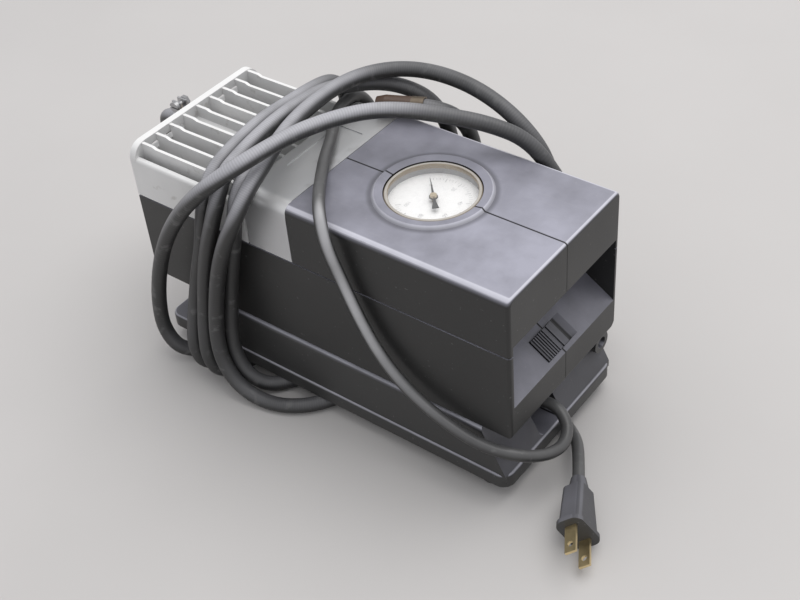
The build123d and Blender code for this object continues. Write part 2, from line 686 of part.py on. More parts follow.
POINTER_PLANE = Plane(
    origin=(GAUGE_X, 0, DIAL_Z + POINTER_RISE),
    x_dir=(cos(radians(GAUGE_REST)), sin(radians(GAUGE_REST)), 0),
    z_dir=(0, 0, 1),
)

with BuildPart() as gauge_pointer:
    with BuildSketch(POINTER_PLANE):
        with BuildLine():
            Polyline(
                (POINTER_L, 0),
                (0, POINTER_W / 2),
                (-POINTER_TAIL / 2, TAIL_W / 4),
                (-POINTER_TAIL, TAIL_W / 2),
                (-POINTER_TAIL, -TAIL_W / 2),
                (-POINTER_TAIL / 2, -TAIL_W / 4),
                (0, -POINTER_W / 2),
                close=True,
            )
        make_face()
        Circle(HUB_R)
        Circle(SPINDLE_R, mode=Mode.SUBTRACT)
    extrude(amount=POINTER_T)
save(gauge_pointer, "gauge_pointer")

with BuildPart() as pointer_spindle:
    with BuildSketch(Plane.XY.offset(CASE_BOTTOM + CASE_T + 2 * FIT)):
        with Locations((GAUGE_X, 0)):
            Circle(SPINDLE_R)
    extrude(amount=DIAL_Z + POINTER_RISE + POINTER_T - CASE_BOTTOM - CASE_T - 2 * FIT)
    with BuildSketch(POINTER_PLANE.offset(POINTER_T)):
        Circle(HUB_R - 0.4)
    extrude(amount=HUB_H, taper=8)
save(pointer_spindle, "pointer_spindle")

# ---- silver band and finned head ------------------------------------------------------------
with BuildPart() as trim_band:
    extrude(
        section(
            Plane.YZ.offset(BAND_REAR), BODY_W, GROOVE_Z + TOUCH, BODY_TOP, BAND_EDGE_R, 0
        ),
        amount=BAND_FRONT - BAND_REAR - FIT,
    )
    extrude(
        section(
            Plane.YZ.offset(BAND_REAR - WALL),
            BODY_W - 2 * BAND_T,
            GROOVE_Z - WALL,
            BODY_TOP - BAND_T,
            BAND_EDGE_R - BAND_T,
            0,
        ),
        amount=BAND_FRONT - BAND_REAR + 2 * WALL,
        mode=Mode.SUBTRACT,
    )
    with BuildSketch(Plane.XY.offset(BODY_TOP)):
        with Locations(((BAND_FRONT + BAND_REAR) / 2, 0)):
            RectangleRounded(PANEL_L, PANEL_W, 1.5)
    extrude(amount=-PANEL_D, mode=Mode.SUBTRACT)
save(trim_band, "trim_band")

fin_top = HEAD_TOP - PANEL_D
fin_front = HEAD_FRONT - FIN_FRONT_GAP
fin_points = [
    (FIN_REAR - 1, HEAD_FLOOR - 1),
    (FIN_REAR - 1, fin_top),
    (FIN_REAR + FIN_LAND, fin_top),
    (FIN_REAR + FIN_LAND + FIN_STEP, fin_top - FIN_DIP),
    (fin_front - FIN_LAND - FIN_STEP, fin_top - FIN_DIP / 2),
    (fin_front - FIN_LAND, fin_top - 1.5 * FIN_DIP),
    (fin_front, fin_top - 1.5 * FIN_DIP),
    (fin_front, HEAD_FLOOR - 1),
]

with BuildPart() as finned_head:
    # rounded end plate
    extrude(
        section(
            Plane.YZ.offset(BODY_REAR), BODY_W, GROOVE_Z + TOUCH, HEAD_TOP, END_PLATE_R, 0
        ),
        amount=END_PLATE_T,
    )
    # side walls and deck, with the boss of the outlet lying in the deck
    extrude(
        section(
            Plane.YZ.offset(BODY_REAR + 1), BODY_W, GROOVE_Z + TOUCH, HEAD_SIDE_TOP, 2.0, 0
        ),
        amount=HEAD_L - 1,
    )
    with BuildSketch(Plane.XY.offset(HEAD_FLOOR)):
        with Locations(((FIN_REAR + HEAD_FRONT + WALL) / 2, 0)):
            Rectangle(HEAD_FRONT + WALL - FIN_REAR, BODY_W - 2 * HEAD_SIDE_T)
    extrude(amount=HEAD_TOP, mode=Mode.SUBTRACT)
    with BuildSketch(Plane.YZ.offset(BODY_REAR + 1)):
        with Locations((0, OUTLET_Z)):
            Circle(OUTLET_BOSS_R)
    extrude(amount=PUMP_X - BODY_REAR)
    with BuildSketch(Plane.XY.offset(GROOVE_Z - WALL)):
        with Locations(((FIN_REAR + HEAD_FRONT + WALL) / 2, 0)):
            Rectangle(HEAD_FRONT + WALL - FIN_REAR, BODY_W - 2 * HEAD_SIDE_T)
    extrude(amount=HEAD_FLOOR - HEAD_PLATE_T - GROOVE_Z + WALL, mode=Mode.SUBTRACT)
    # fins
    for number in range(FIN_COUNT):
        fin_y = (number - (FIN_COUNT - 1) / 2) * FIN_PITCH
        extrude(side_profile(fin_points, fin_y), amount=FIN_T / 2, both=True)
    # air passage from the pump to the outlet
    with BuildSketch(Plane.YZ.offset(BODY_REAR)):
        with Locations((0, OUTLET_Z)):
            Circle(BARB_THREAD_R + TOUCH)
    extrude(amount=BARB_THREAD_L + FIT, mode=Mode.SUBTRACT)
    with BuildSketch(Plane.YZ.offset(BODY_REAR)):
        with Locations((0, OUTLET_Z)):
            Circle(OUTLET_BORE_R)
    extrude(amount=PUMP_X - BODY_REAR - 2 * OUTLET_BORE_R, mode=Mode.SUBTRACT)
    with BuildSketch(Plane.XY.offset(HEAD_FLOOR - HEAD_PLATE_T)):
        with Locations((PUMP_X - 3 * OUTLET_BORE_R, 0)):
            Circle(OUTLET_BORE_R)
    extrude(amount=OUTLET_Z - HEAD_FLOOR + HEAD_PLATE_T, mode=Mode.SUBTRACT)
    with BuildSketch(Plane.XY.offset(HEAD_FLOOR - HEAD_PLATE_T)):
        with Locations((PUMP_X, 0)):
            Circle(PLENUM_R)
    extrude(amount=PLENUM_D, mode=Mode.SUBTRACT)
    # vents through the end plate
    with BuildSketch(Plane.YZ.offset(BODY_REAR)):
        for side in (-1, 1):
            with Locations((side * (VENT_Y0 + VENT_Y1) / 2, VENT_Z)):
                SlotOverall(VENT_Y1 - VENT_Y0, VENT_H)
    extrude(amount=END_PLATE_T + 1, mode=Mode.SUBTRACT)
    # holes of the studs
    with BuildSketch(Plane.XY.offset(HEAD_FLOOR - HEAD_PLATE_T)):
        with Locations((PUMP_X, 0)):
            with GridLocations(2 * STUD_X, 2 * STUD_Y, 2, 2):
                Circle(STUD_R + TOUCH)
    extrude(amount=HEAD_PLATE_T, mode=Mode.SUBTRACT)
save(finned_head, "finned_head")

with BuildPart() as head_studs:
    with BuildSketch(Plane.XY.offset(HEAD_FLOOR + TOUCH)):
        with Locations((PUMP_X, 0)):
            with GridLocations(2 * STUD_X, 2 * STUD_Y, 2, 2):
                Circle(STUD_HEAD_R)
    extrude(amount=STUD_HEAD_H)
    with BuildSketch(Plane.XY.offset(HEAD_FLOOR + TOUCH)):
        with Locations((PUMP_X, 0)):
            with GridLocations(2 * STUD_X, 2 * STUD_Y, 2, 2):
                Circle(STUD_R)
    extrude(amount=DECK_Z + FIT - HEAD_FLOOR)
save(head_studs, "head_studs")

# ---- pump -----------------------------------------------------------------------------------
with BuildPart() as crankcase:
    with BuildSketch(Plane.XY.offset(DECK_Z)):
        with Locations((PUMP_X, 0)):
            RectangleRounded(DECK_L, DECK_W, 4)
            Circle(BORE_R + SLEEVE_T + TOUCH, mode=Mode.SUBTRACT)
            with GridLocations(2 * STUD_X, 2 * STUD_Y, 2, 2):
                Circle(STUD_R + TOUCH, mode=Mode.SUBTRACT)
    extrude(amount=DECK_T)
    with BuildSketch(Plane.YZ.offset(CASE_WALL_X)):
        with Locations((0, FLOOR_TOP + TOUCH)):
            Rectangle(CASE_WALL_W, DECK_Z - FLOOR_TOP, align=(Align.CENTER, Align.MIN))
        with Locations((0, SHAFT_Z)):
            Circle(BEARING_R + TOUCH, mode=Mode.SUBTRACT)
    extrude(amount=CASE_WALL_T)
    for side in (-1, 1):
        post_y = side * DECK_W / 2
        with BuildSketch(Plane.XZ.offset(-post_y)):
            with BuildLine():
                Polyline(
                    (PUMP_X - DECK_L / 2 + RIB_T, DECK_Z + DECK_T / 4),
                    (CASE_WALL_X + CASE_WALL_T, DECK_Z + DECK_T / 4),
                    (CASE_WALL_X + CASE_WALL_T, FLOOR_TOP + TOUCH),
                    (CASE_WALL_X - CASE_WALL_T, FLOOR_TOP + TOUCH),
                    close=True,
                )
            make_face()
        extrude(amount=RIB_T * side)
save(crankcase, "crankcase")

with BuildPart() as cylinder_sleeve:
    with BuildSketch(Plane.XY.offset(SLEEVE_BOTTOM)):
        with Locations((PUMP_X, 0)):
            Circle(BORE_R + SLEEVE_T)
    extrude(amount=SLEEVE_TOP - SLEEVE_BOTTOM)
    with BuildSketch(Plane.XY.offset(DECK_Z + DECK_T + TOUCH)):
        with Locations((PUMP_X, 0)):
            Circle(BORE_R + 2 * SLEEVE_T)
    extrude(amount=SLEEVE_T)
    with BuildSketch(Plane.XY.offset(SLEEVE_BOTTOM)):
        with Locations((PUMP_X, 0)):
            Circle(BORE_R)
    extrude(amount=SLEEVE_TOP - SLEEVE_BOTTOM, mode=Mode.SUBTRACT)
save(cylinder_sleeve, "cylinder_sleeve")

with BuildPart() as valve_plate:
    with BuildSketch(Plane.XY.offset(SLEEVE_TOP + TOUCH)):
        with Locations((PUMP_X, 0)):
            Circle(BORE_R + 2 * SLEEVE_T)
        with Locations((PUMP_X + REED_L / 4, 0)):
            Circle(PORT_R, mode=Mode.SUBTRACT)
    extrude(amount=VALVE_PLATE_T - 2 * TOUCH)
save(valve_plate, "valve_plate")

with BuildPart() as head_gasket:
    with BuildSketch(Plane.XY.offset(VALVE_PLATE_TOP)):
        with Locations((PUMP_X, 0)):
            Circle(BORE_R + 2 * SLEEVE_T)
            Circle(PLENUM_R, mode=Mode.SUBTRACT)
    extrude(amount=GASKET_T - TOUCH)
save(head_gasket, "head_gasket")

with BuildPart() as outlet_reed:
    with BuildSketch(Plane.XY.offset(VALVE_PLATE_TOP)):
        with Locations((PUMP_X, 0)):
            SlotOverall(REED_L, REED_W)
    extrude(amount=REED_T)
save(outlet_reed, "outlet_reed")

# the crank pin stands at the top of its circle, so the piston is at the top of its stroke
rod_low = SHAFT_Z - CRANK_THROW - CRANK_PIN_R - PIN_CLEARANCE
rod_high = SHAFT_Z + 3 * CRANK_THROW + CRANK_PIN_R + PIN_CLEARANCE
rod_half_w = CRANK_THROW + CRANK_PIN_R + PIN_CLEARANCE
piston_bottom = PISTON_TOP - PISTON_H

with BuildPart() as piston_rod:
    with BuildSketch(Plane.YZ.offset(PUMP_X)):
        with Locations((0, (rod_low + rod_high) / 2)):
            RectangleRounded(
                2 * (rod_half_w + ROD_RIM), rod_high - rod_low + 2 * ROD_RIM, rod_half_w
            )
        with Locations((0, rod_high)):
            Rectangle(ROD_NECK_W, piston_bottom - rod_high + 1, align=(Align.CENTER, Align.MIN))
        with Locations((0, (rod_low + rod_high) / 2)):
            RectangleRounded(
                2 * rod_half_w, rod_high - rod_low, rod_half_w - FIT, mode=Mode.SUBTRACT
            )
    extrude(amount=ROD_T / 2, both=True)
    with BuildSketch(Plane.XY.offset(piston_bottom)):
        with Locations((PUMP_X, 0)):
            Circle(PISTON_R)
    extrude(amount=PISTON_H)
    with BuildSketch(Plane.XY.offset(PISTON_TOP - 1.5 * SEAL_H)):
        with Locations((PUMP_X, 0)):
            Circle(BORE_R)
            Circle(BORE_R - SEAL_T, mode=Mode.SUBTRACT)
    extrude(amount=SEAL_H, mode=Mode.SUBTRACT)
save(piston_rod, "piston_rod")

with BuildPart() as piston_seal:
    with BuildSketch(Plane.XY.offset(PISTON_TOP - 1.5 * SEAL_H)):
        with Locations((PUMP_X, 0)):
            Circle(BORE_R - SEAL_FIT)
            Circle(BORE_R - SEAL_T, mode=Mode.SUBTRACT)
    extrude(amount=SEAL_H)
save(piston_seal, "piston_seal")

crank_x = PUMP_X + ROD_T / 2 + ROD_GAP

with BuildPart() as crank:
    with BuildSketch(Plane.YZ.offset(crank_x)):
        with Locations((0, SHAFT_Z)):
            Circle(CRANK_R)
            Circle(SHAFT_R, mode=Mode.SUBTRACT)
    extrude(amount=CRANK_T)
    with BuildSketch(Plane.YZ.offset(crank_x)):
        with Locations((0, SHAFT_Z + CRANK_THROW)):
            Circle(CRANK_PIN_R)
    extrude(amount=-(ROD_T + 2 * ROD_GAP))
save(crank, "crank")

# ---- motor ----------------------------------------------------------------------------------
shaft_rear = crank_x + ROD_GAP / 2
shaft_front = FAN_X + FAN_T

with BuildPart() as motor_shaft:
    with BuildSketch(Plane.YZ.offset(shaft_rear)):
        with Locations((0, SHAFT_Z)):
            Circle(SHAFT_R)
    extrude(amount=shaft_front - shaft_rear)
save(motor_shaft, "motor_shaft")


def bearing(x):
    """Ball bearing drawn as one ring, its rear face at x."""
    with BuildPart() as ring:
        with BuildSketch(Plane.YZ.offset(x)):
            with Locations((0, SHAFT_Z)):
                Circle(BEARING_R)
                Circle(SHAFT_R + TOUCH, mode=Mode.SUBTRACT)
        extrude(amount=BEARING_T)
    return ring


save(bearing(CASE_WALL_X + (CASE_WALL_T - BEARING_T) / 2), "crank_bearing")
save(bearing(MOTOR_FRONT + BELL_BOSS_T - BEARING_T), "front_bearing")
save(bearing(MOTOR_REAR - BELL_BOSS_T), "rear_bearing")

with BuildPart() as motor_can:
    with BuildSketch(Plane.YZ.offset(MOTOR_REAR)):
        with Locations((0, SHAFT_Z)):
            Circle(MOTOR_R)
            Circle(MOTOR_R - CAN_T, mode=Mode.SUBTRACT)
    extrude(amount=MOTOR_FRONT - MOTOR_REAR)
save(motor_can, "motor_can")


def end_bell(x, outward):
    """Motor end bell inside the can, with the bearing boss standing outward."""
    with BuildPart() as bell:
        with BuildSketch(Plane.YZ.offset(x)):
            with Locations((0, SHAFT_Z)):
                Circle(MOTOR_R - CAN_T - TOUCH)
        extrude(amount=-outward * BELL_T)
        with BuildSketch(Plane.YZ.offset(x)):
            with Locations((0, SHAFT_Z)):
                Circle(BELL_BOSS_R)
        extrude(amount=outward * BELL_BOSS_T)
        with BuildSketch(Plane.YZ.offset(x + outward * BELL_BOSS_T)):
            with Locations((0, SHAFT_Z)):
                Circle(BEARING_R + TOUCH)
        extrude(amount=-outward * (BEARING_T + TOUCH), mode=Mode.SUBTRACT)
        with BuildSketch(Plane.YZ.offset(x + outward * BELL_BOSS_T)):
            with Locations((0, SHAFT_Z)):
                Circle(SHAFT_R + FIT)
        extrude(amount=-outward * (BELL_BOSS_T + BELL_T), mode=Mode.SUBTRACT)
    return bell


save(end_bell(MOTOR_REAR, -1), "rear_bell")
save(end_bell(MOTOR_FRONT, 1), "front_bell")

stator_bore_r = MOTOR_R - CAN_T - STATOR_T

with BuildPart() as stator:
    with BuildSketch(Plane.YZ.offset(ROTOR_X)):
        with Locations((0, SHAFT_Z)):
            Circle(MOTOR_R - CAN_T - TOUCH)
            Circle(stator_bore_r, mode=Mode.SUBTRACT)
    extrude(amount=STATOR_L / 2, both=True)
save(stator, "stator")

with BuildPart() as rotor:
    with BuildSketch(Plane.YZ.offset(ROTOR_X)):
        with Locations((0, SHAFT_Z)):
            Circle(stator_bore_r - AIR_GAP)
            with PolarLocations(stator_bore_r - AIR_GAP - 1.5, ROTOR_SLOTS):
                Rectangle(4.0, 1.6, mode=Mode.SUBTRACT)
            Circle(SHAFT_R + TOUCH, mode=Mode.SUBTRACT)
    extrude(amount=STATOR_L / 2, both=True)
save(rotor, "rotor")

with BuildPart() as commutator:
    with BuildSketch(Plane.YZ.offset(ROTOR_X + STATOR_L / 2)):
        with Locations((0, SHAFT_Z)):
            Circle(COMMUTATOR_R)
            Circle(SHAFT_R + TOUCH, mode=Mode.SUBTRACT)
    extrude(amount=COMMUTATOR_L)
save(commutator, "commutator")

with BuildPart() as cooling_fan:
    with BuildSketch(Plane.YZ.offset(FAN_X)):
        with Locations((0, SHAFT_Z)):
            Circle(FAN_HUB_R)
            with PolarLocations((FAN_HUB_R + FAN_R) / 2, FAN_BLADES):
                Rectangle(FAN_R - FAN_HUB_R + 2, FAN_BLADE_T)
            Circle(SHAFT_R + TOUCH, mode=Mode.SUBTRACT)
    extrude(amount=FAN_T)
    with BuildSketch(Plane.YZ.offset(FAN_X)):
        with Locations((0, SHAFT_Z)):
            Circle(FAN_R - 2)
            Circle(SHAFT_R + TOUCH, mode=Mode.SUBTRACT)
    extrude(amount=FAN_BLADE_T)
save(cooling_fan, "cooling_fan")

# ---- switch ---------------------------------------------------------------------------------
slot_mid = (SLOT_LOW + SLOT_HIGH) / 2
slider_y = SLOT_Y0 + FIT + SLIDER_L / 2
slider_w = SLOT_HIGH - SLOT_LOW - 2 * FIT
rib_start = slider_y - SLIDER_L / 2 + SLIDER_RIB_PITCH

with BuildPart() as switch_slider:
    with BuildSketch(RAMP.offset(FIT - SLOT_SINK)):
        with Locations((slider_y, slot_mid)):
            Rectangle(SLIDER_L, slider_w)
    extrude(amount=SLOT_SINK - FIT + SLIDER_RISE - SLIDER_RIB)
    with BuildSketch(RAMP.offset(SLIDER_RISE - SLIDER_RIB)):
        for number in range(SLIDER_RIBS):
            with Locations((rib_start + number * SLIDER_RIB_PITCH, slot_mid)):
                Rectangle(SLIDER_RIB_PITCH / 2, slider_w)
        with Locations((slider_y + SLIDER_L / 4, slot_mid)):
            Rectangle(SLIDER_RIDGE, slider_w)
    extrude(amount=SLIDER_RIB)
    with BuildSketch(RAMP.offset(FIT - SLOT_SINK)):
        with Locations((SLOT_Y0 + SLIDER_L / 2, slot_mid)):
            Rectangle(STEM_L, STEM_W)
    extrude(amount=-(RAMP_T - SLOT_SINK + SWITCH_SLIT))
save(switch_slider, "switch_slider")

with BuildPart() as switch_body:
    with BuildSketch(RAMP.offset(-RAMP_T - TOUCH)):
        with Locations((SLOT_Y0 + SLIDER_L / 2 + SWITCH_TRAVEL / 2, slot_mid)):
            Rectangle(SWITCH_BODY_L, SWITCH_BODY_W)
    extrude(amount=-SWITCH_BODY_D)
    with BuildSketch(RAMP.offset(-RAMP_T)):
        with Locations((SLOT_Y0 + SLIDER_L / 2 + SWITCH_TRAVEL / 2, slot_mid)):
            Rectangle(STEM_L + SWITCH_TRAVEL + 4 * FIT, STEM_W + 2 * FIT)
    extrude(amount=-SWITCH_SLIT - FIT, mode=Mode.SUBTRACT)
save(switch_body, "switch_body")

# ---- outlet ---------------------------------------------------------------------------------
with BuildPart() as outlet_barb:
    with BuildSketch(Plane.YZ.offset(BODY_REAR - TOUCH)):
        with Locations((0, OUTLET_Z)):
            RegularPolygon(COLLAR_R, 6)
    extrude(amount=-COLLAR_T)
    with BuildSketch(Plane.YZ.offset(BODY_REAR - TOUCH)):
        with Locations((0, OUTLET_Z)):
            Circle(BARB_THREAD_R)
    extrude(amount=BARB_THREAD_L)
    with BuildSketch(Plane.YZ.offset(BODY_REAR - TOUCH - COLLAR_T)):
        with Locations((0, OUTLET_Z)):
            Circle(NIPPLE_R)
    extrude(amount=-NIPPLE_L)
    with BuildSketch(Plane.YZ.offset(BODY_REAR + BARB_THREAD_L)):
        with Locations((0, OUTLET_Z)):
            Circle(OUTLET_BORE_R / 2)
    extrude(amount=-(BARB_THREAD_L + COLLAR_T + NIPPLE_L + 1), mode=Mode.SUBTRACT)
save(outlet_barb, "outlet_barb")

# ---- hose and power cord --------------------------------------------------------------------
def tube(points, diameter, name):
    """Solid tube of straight runs joined by tangent arcs, as large as the shorter run allows."""
    stops = [Vector(*point) for point in points]
    run_start = stops[0]
    radii = []
    with BuildPart() as pipe:
        with BuildLine() as route:
            for before, corner, after in zip(stops, stops[1:], stops[2:]):
                arriving = corner - before
                leaving = after - corner
                reach = BEND_SHARE * min(arriving.length, leaving.length)
                bend_start = corner - arriving.normalized() * reach
                bend_end = corner + leaving.normalized() * reach
                Line(run_start, bend_start)
                TangentArc(bend_start, bend_end, tangent=arriving)
                radii.append(reach / tan(radians(arriving.get_angle(leaving)) / 2))
                run_start = bend_end
            Line(run_start, stops[-1])
        with BuildSketch(Plane(origin=stops[0], z_dir=stops[1] - stops[0])):
            Circle(diameter / 2)
        sweep()
    route_length = route.wire().length
    fill = pipe.part.volume / (pi * diameter**2 / 4 * route_length)
    print(f"{name}: length {route_length:.0f}, volume over section times length {fill:.4f}")
    print("bend radii:", " ".join(f"{radius:.0f}" for radius in radii))
    return pipe


save(tube(HOSE_POINTS, HOSE_D, "air_hose"), "air_hose")
save(tube(CORD_POINTS, CORD_D, "power_cord"), "power_cord")

# ---- hose clamp, pinched by a screw across its ears -----------------------------------------
clamp_r = HOSE_D / 2 + TOUCH
ear_base = OUTLET_Z + HOSE_D / 2
screw_z = EAR_TOP - CLAMP_SCREW_R - 1.0

with BuildPart() as hose_clamp:
    with BuildSketch(Plane.YZ.offset(CLAMP_REAR)):
        with Locations((0, OUTLET_Z)):
            Circle(clamp_r + CLAMP_T)
        for side in (-1, 1):
            with Locations((side * (EAR_GAP + EAR_T) / 2, (ear_base + EAR_TOP) / 2)):
                Rectangle(EAR_T, EAR_TOP - ear_base)
        with Locations((0, OUTLET_Z)):
            Circle(clamp_r, mode=Mode.SUBTRACT)
        with Locations((0, OUTLET_Z + clamp_r)):
            Rectangle(EAR_GAP, 4 * CLAMP_T, mode=Mode.SUBTRACT)
    extrude(amount=CLAMP_W)
    with BuildSketch(Plane.XZ):
        with Locations((CLAMP_REAR + CLAMP_W / 2, screw_z)):
            Circle(CLAMP_SCREW_R + TOUCH)
    extrude(amount=EAR_GAP + EAR_T, both=True, mode=Mode.SUBTRACT)
save(hose_clamp, "hose_clamp")

with BuildPart() as hose_clamp_screw:
    with BuildSketch(Plane.XZ.offset(EAR_GAP / 2 + EAR_T + TOUCH)):
        with Locations((CLAMP_REAR + CLAMP_W / 2, screw_z)):
            Circle(CLAMP_HEAD_R)
    extrude(amount=CLAMP_HEAD_T)
    with BuildSketch(Plane.XZ.offset(EAR_GAP / 2 + EAR_T + TOUCH + CLAMP_HEAD_T)):
        with Locations((CLAMP_REAR + CLAMP_W / 2, screw_z)):
            Rectangle(2 * CLAMP_HEAD_R, 0.8)
    extrude(amount=-CLAMP_HEAD_T / 2, mode=Mode.SUBTRACT)
    with BuildSketch(Plane.XZ.offset(EAR_GAP / 2 + EAR_T + TOUCH)):
        with Locations((CLAMP_REAR + CLAMP_W / 2, screw_z)):
            Circle(CLAMP_SCREW_R)
    extrude(amount=-(EAR_GAP + 2 * EAR_T + 2 * TOUCH + 1.0))
    with BuildSketch(Plane.XZ.offset(-(EAR_GAP / 2 + EAR_T + TOUCH))):
        with Locations((CLAMP_REAR + CLAMP_W / 2, screw_z)):
            RegularPolygon(CLAMP_HEAD_R, 6)
    extrude(amount=-CLAMP_HEAD_T)
save(hose_clamp_screw, "hose_clamp_screw")

# ---- chuck on the free end of the hose ------------------------------------------------------
hose_end = Vector(*HOSE_POINTS[-1])
CHUCK = Plane(origin=hose_end, z_dir=hose_end - Vector(*HOSE_POINTS[-2]))

with BuildPart() as chuck_stem:
    with BuildSketch(CHUCK.offset(-CHUCK_STEM_IN)):
        Circle(NIPPLE_R)
        Circle(OUTLET_BORE_R / 2, mode=Mode.SUBTRACT)
    extrude(amount=CHUCK_STEM_IN + CHUCK_STEM_L / 2)
save(chuck_stem, "chuck_stem")

with BuildPart() as chuck_ferrule:
    with BuildSketch(CHUCK.offset(-CHUCK_STEM_IN)):
        Circle(HOSE_D / 2 + TOUCH + FERRULE_T)
        Circle(HOSE_D / 2 + TOUCH, mode=Mode.SUBTRACT)
    extrude(amount=CHUCK_STEM_IN)
    with BuildSketch(CHUCK):
        Circle(HOSE_D / 2 + TOUCH + FERRULE_T)
        Circle(NIPPLE_R + TOUCH, mode=Mode.SUBTRACT)
    extrude(amount=FERRULE_T)
save(chuck_ferrule, "chuck_ferrule")

with BuildPart() as chuck_body:
    with BuildSketch(CHUCK.offset(FERRULE_T + TOUCH)):
        Circle(CHUCK_R)
    extrude(amount=CHUCK_L)
    with BuildSketch(CHUCK.offset(FERRULE_T + TOUCH + CHUCK_L)):
        Circle(CHUCK_R)
    with BuildSketch(CHUCK.offset(FERRULE_T + TOUCH + CHUCK_L + CHUCK_NOSE_L)):
        Circle(CHUCK_NOSE_R)
    loft()
    with BuildSketch(CHUCK.offset(FERRULE_T + TOUCH)):
        Circle(NIPPLE_R + TOUCH)
    extrude(amount=CHUCK_STEM_L / 2, mode=Mode.SUBTRACT)
    with BuildSketch(CHUCK.offset(FERRULE_T + TOUCH)):
        Circle(OUTLET_BORE_R / 2)
    extrude(amount=CHUCK_L, mode=Mode.SUBTRACT)
    with BuildSketch(CHUCK.offset(FERRULE_T + TOUCH + CHUCK_L + CHUCK_NOSE_L)):
        Circle(CHUCK_BORE_R)
    extrude(amount=-CHUCK_BORE_L, mode=Mode.SUBTRACT)
save(chuck_body, "chuck_body")

with BuildPart() as chuck_grommet:
    with BuildSketch(CHUCK.offset(FERRULE_T + 2 * TOUCH + CHUCK_L + CHUCK_NOSE_L - CHUCK_BORE_L)):
        Circle(CHUCK_BORE_R - TOUCH)
        Circle(GROMMET_BORE_R, mode=Mode.SUBTRACT)
    extrude(amount=GROMMET_T)
save(chuck_grommet, "chuck_grommet")

# ---- bushing of the power cord, its plate behind the front wall of the skirt -----------------
cord_start = Vector(*CORD_POINTS[0])
bushing_rear = SKIRT_HOLLOW_FRONT - TOUCH - BUSHING_PLATE_T
slot_middle = ((CORD_SLOT_Y0 + CORD_SLOT_Y1) / 2, (BASE_TOP + CORD_SLOT_TOP) / 2)

with BuildPart() as cord_bushing:
    with BuildSketch(Plane.YZ.offset(bushing_rear)):
        with Locations(slot_middle):
            RectangleRounded(BUSHING_PLATE_W, BUSHING_PLATE_H, SKIRT_SHOULDER_R)
    extrude(amount=BUSHING_PLATE_T)
    with BuildSketch(Plane.YZ.offset(bushing_rear + BUSHING_PLATE_T / 2)):
        with Locations((cord_start.Y, cord_start.Z)):
            Circle(BUSHING_R)
    with BuildSketch(Plane.YZ.offset(BUSHING_TIP_X)):
        with Locations((cord_start.Y, cord_start.Z)):
            Circle(BUSHING_TIP_R)
    loft()
    with BuildSketch(Plane.YZ.offset(cord_start.X)):
        with Locations((cord_start.Y, cord_start.Z)):
            Circle(CORD_D / 2)
    extrude(amount=BUSHING_TIP_X - cord_start.X, mode=Mode.SUBTRACT)
save(cord_bushing, "cord_bushing")

# ---- plug, its axis along the end of the cord -----------------------------------------------
roll = radians(PLUG_ROLL)
ahead = (Vector(*CORD_POINTS[-1]) - Vector(*CORD_POINTS[-2])).normalized()
PLUG = Plane(
    origin=Vector(*CORD_POINTS[-1]) + ahead * TOUCH,
    x_dir=(-ahead.Y * cos(roll), ahead.X * cos(roll), -sin(roll)),
    z_dir=ahead,
)

with BuildPart() as plug_relief:
    with BuildSketch(PLUG):
        Circle(PLUG_RELIEF_R)
    with BuildSketch(PLUG.offset(PLUG_RELIEF_L)):
        Circle(PLUG_SHOULDER_R)
    loft()
save(plug_relief, "plug_relief")

PLUG_REAR = PLUG.offset(PLUG_RELIEF_L)
with BuildPart() as plug_body:
    with BuildSketch(PLUG_REAR):
        RectangleRounded(PLUG_REAR_W, PLUG_REAR_H, PLUG_REAR_CORNER_R)
    with BuildSketch(PLUG_REAR.offset(PLUG_L - PLUG_FLANGE_T)):
        RectangleRounded(PLUG_FRONT_W, PLUG_FRONT_H, PLUG_REAR_CORNER_R)
    loft()
    with BuildSketch(PLUG_REAR.offset(PLUG_L - PLUG_FLANGE_T)):
        RectangleRounded(PLUG_FACE_W, PLUG_FACE_H, PLUG_CORNER_R)
    extrude(amount=PLUG_FLANGE_T)
    with BuildSketch(PLUG_REAR.offset(PLUG_L)):
        with GridLocations(BLADE_PITCH, 0, 2, 1):
            Rectangle(BLADE_T + 2 * TOUCH, BLADE_W + 2 * TOUCH)
    extrude(amount=-(BLADE_ROOT + TOUCH), mode=Mode.SUBTRACT)
save(plug_body, "plug_body")

PLUG_SIDE = Plane(origin=PLUG_REAR.offset(PLUG_L).origin, x_dir=PLUG.z_dir, z_dir=PLUG.x_dir)
with BuildPart() as plug_blades:
    with BuildSketch(PLUG_REAR.offset(PLUG_L - BLADE_ROOT)):
        with GridLocations(BLADE_PITCH, 0, 2, 1):
            Rectangle(BLADE_T, BLADE_W)
    extrude(amount=BLADE_ROOT + BLADE_L)
    with BuildSketch(PLUG_SIDE):
        with Locations((BLADE_HOLE_AT, 0)):
            Circle(BLADE_HOLE_R)
    extrude(amount=BLADE_PITCH, both=True, mode=Mode.SUBTRACT)
save(plug_blades, "plug_blades")
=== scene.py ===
"""Looks of a small portable air compressor with its hose and cord wound round it.

Everything is in metres, in the frame of the part: X along the machine with the nose at +X,
Y across it, Z up from the floor. The near side is at -Y.
"""

import json
from math import cos, pi, radians, sin

import bpy
import numpy as np
from bpy.props import FloatProperty, FloatVectorProperty, IntProperty, PointerProperty
from mathutils import Matrix, Vector


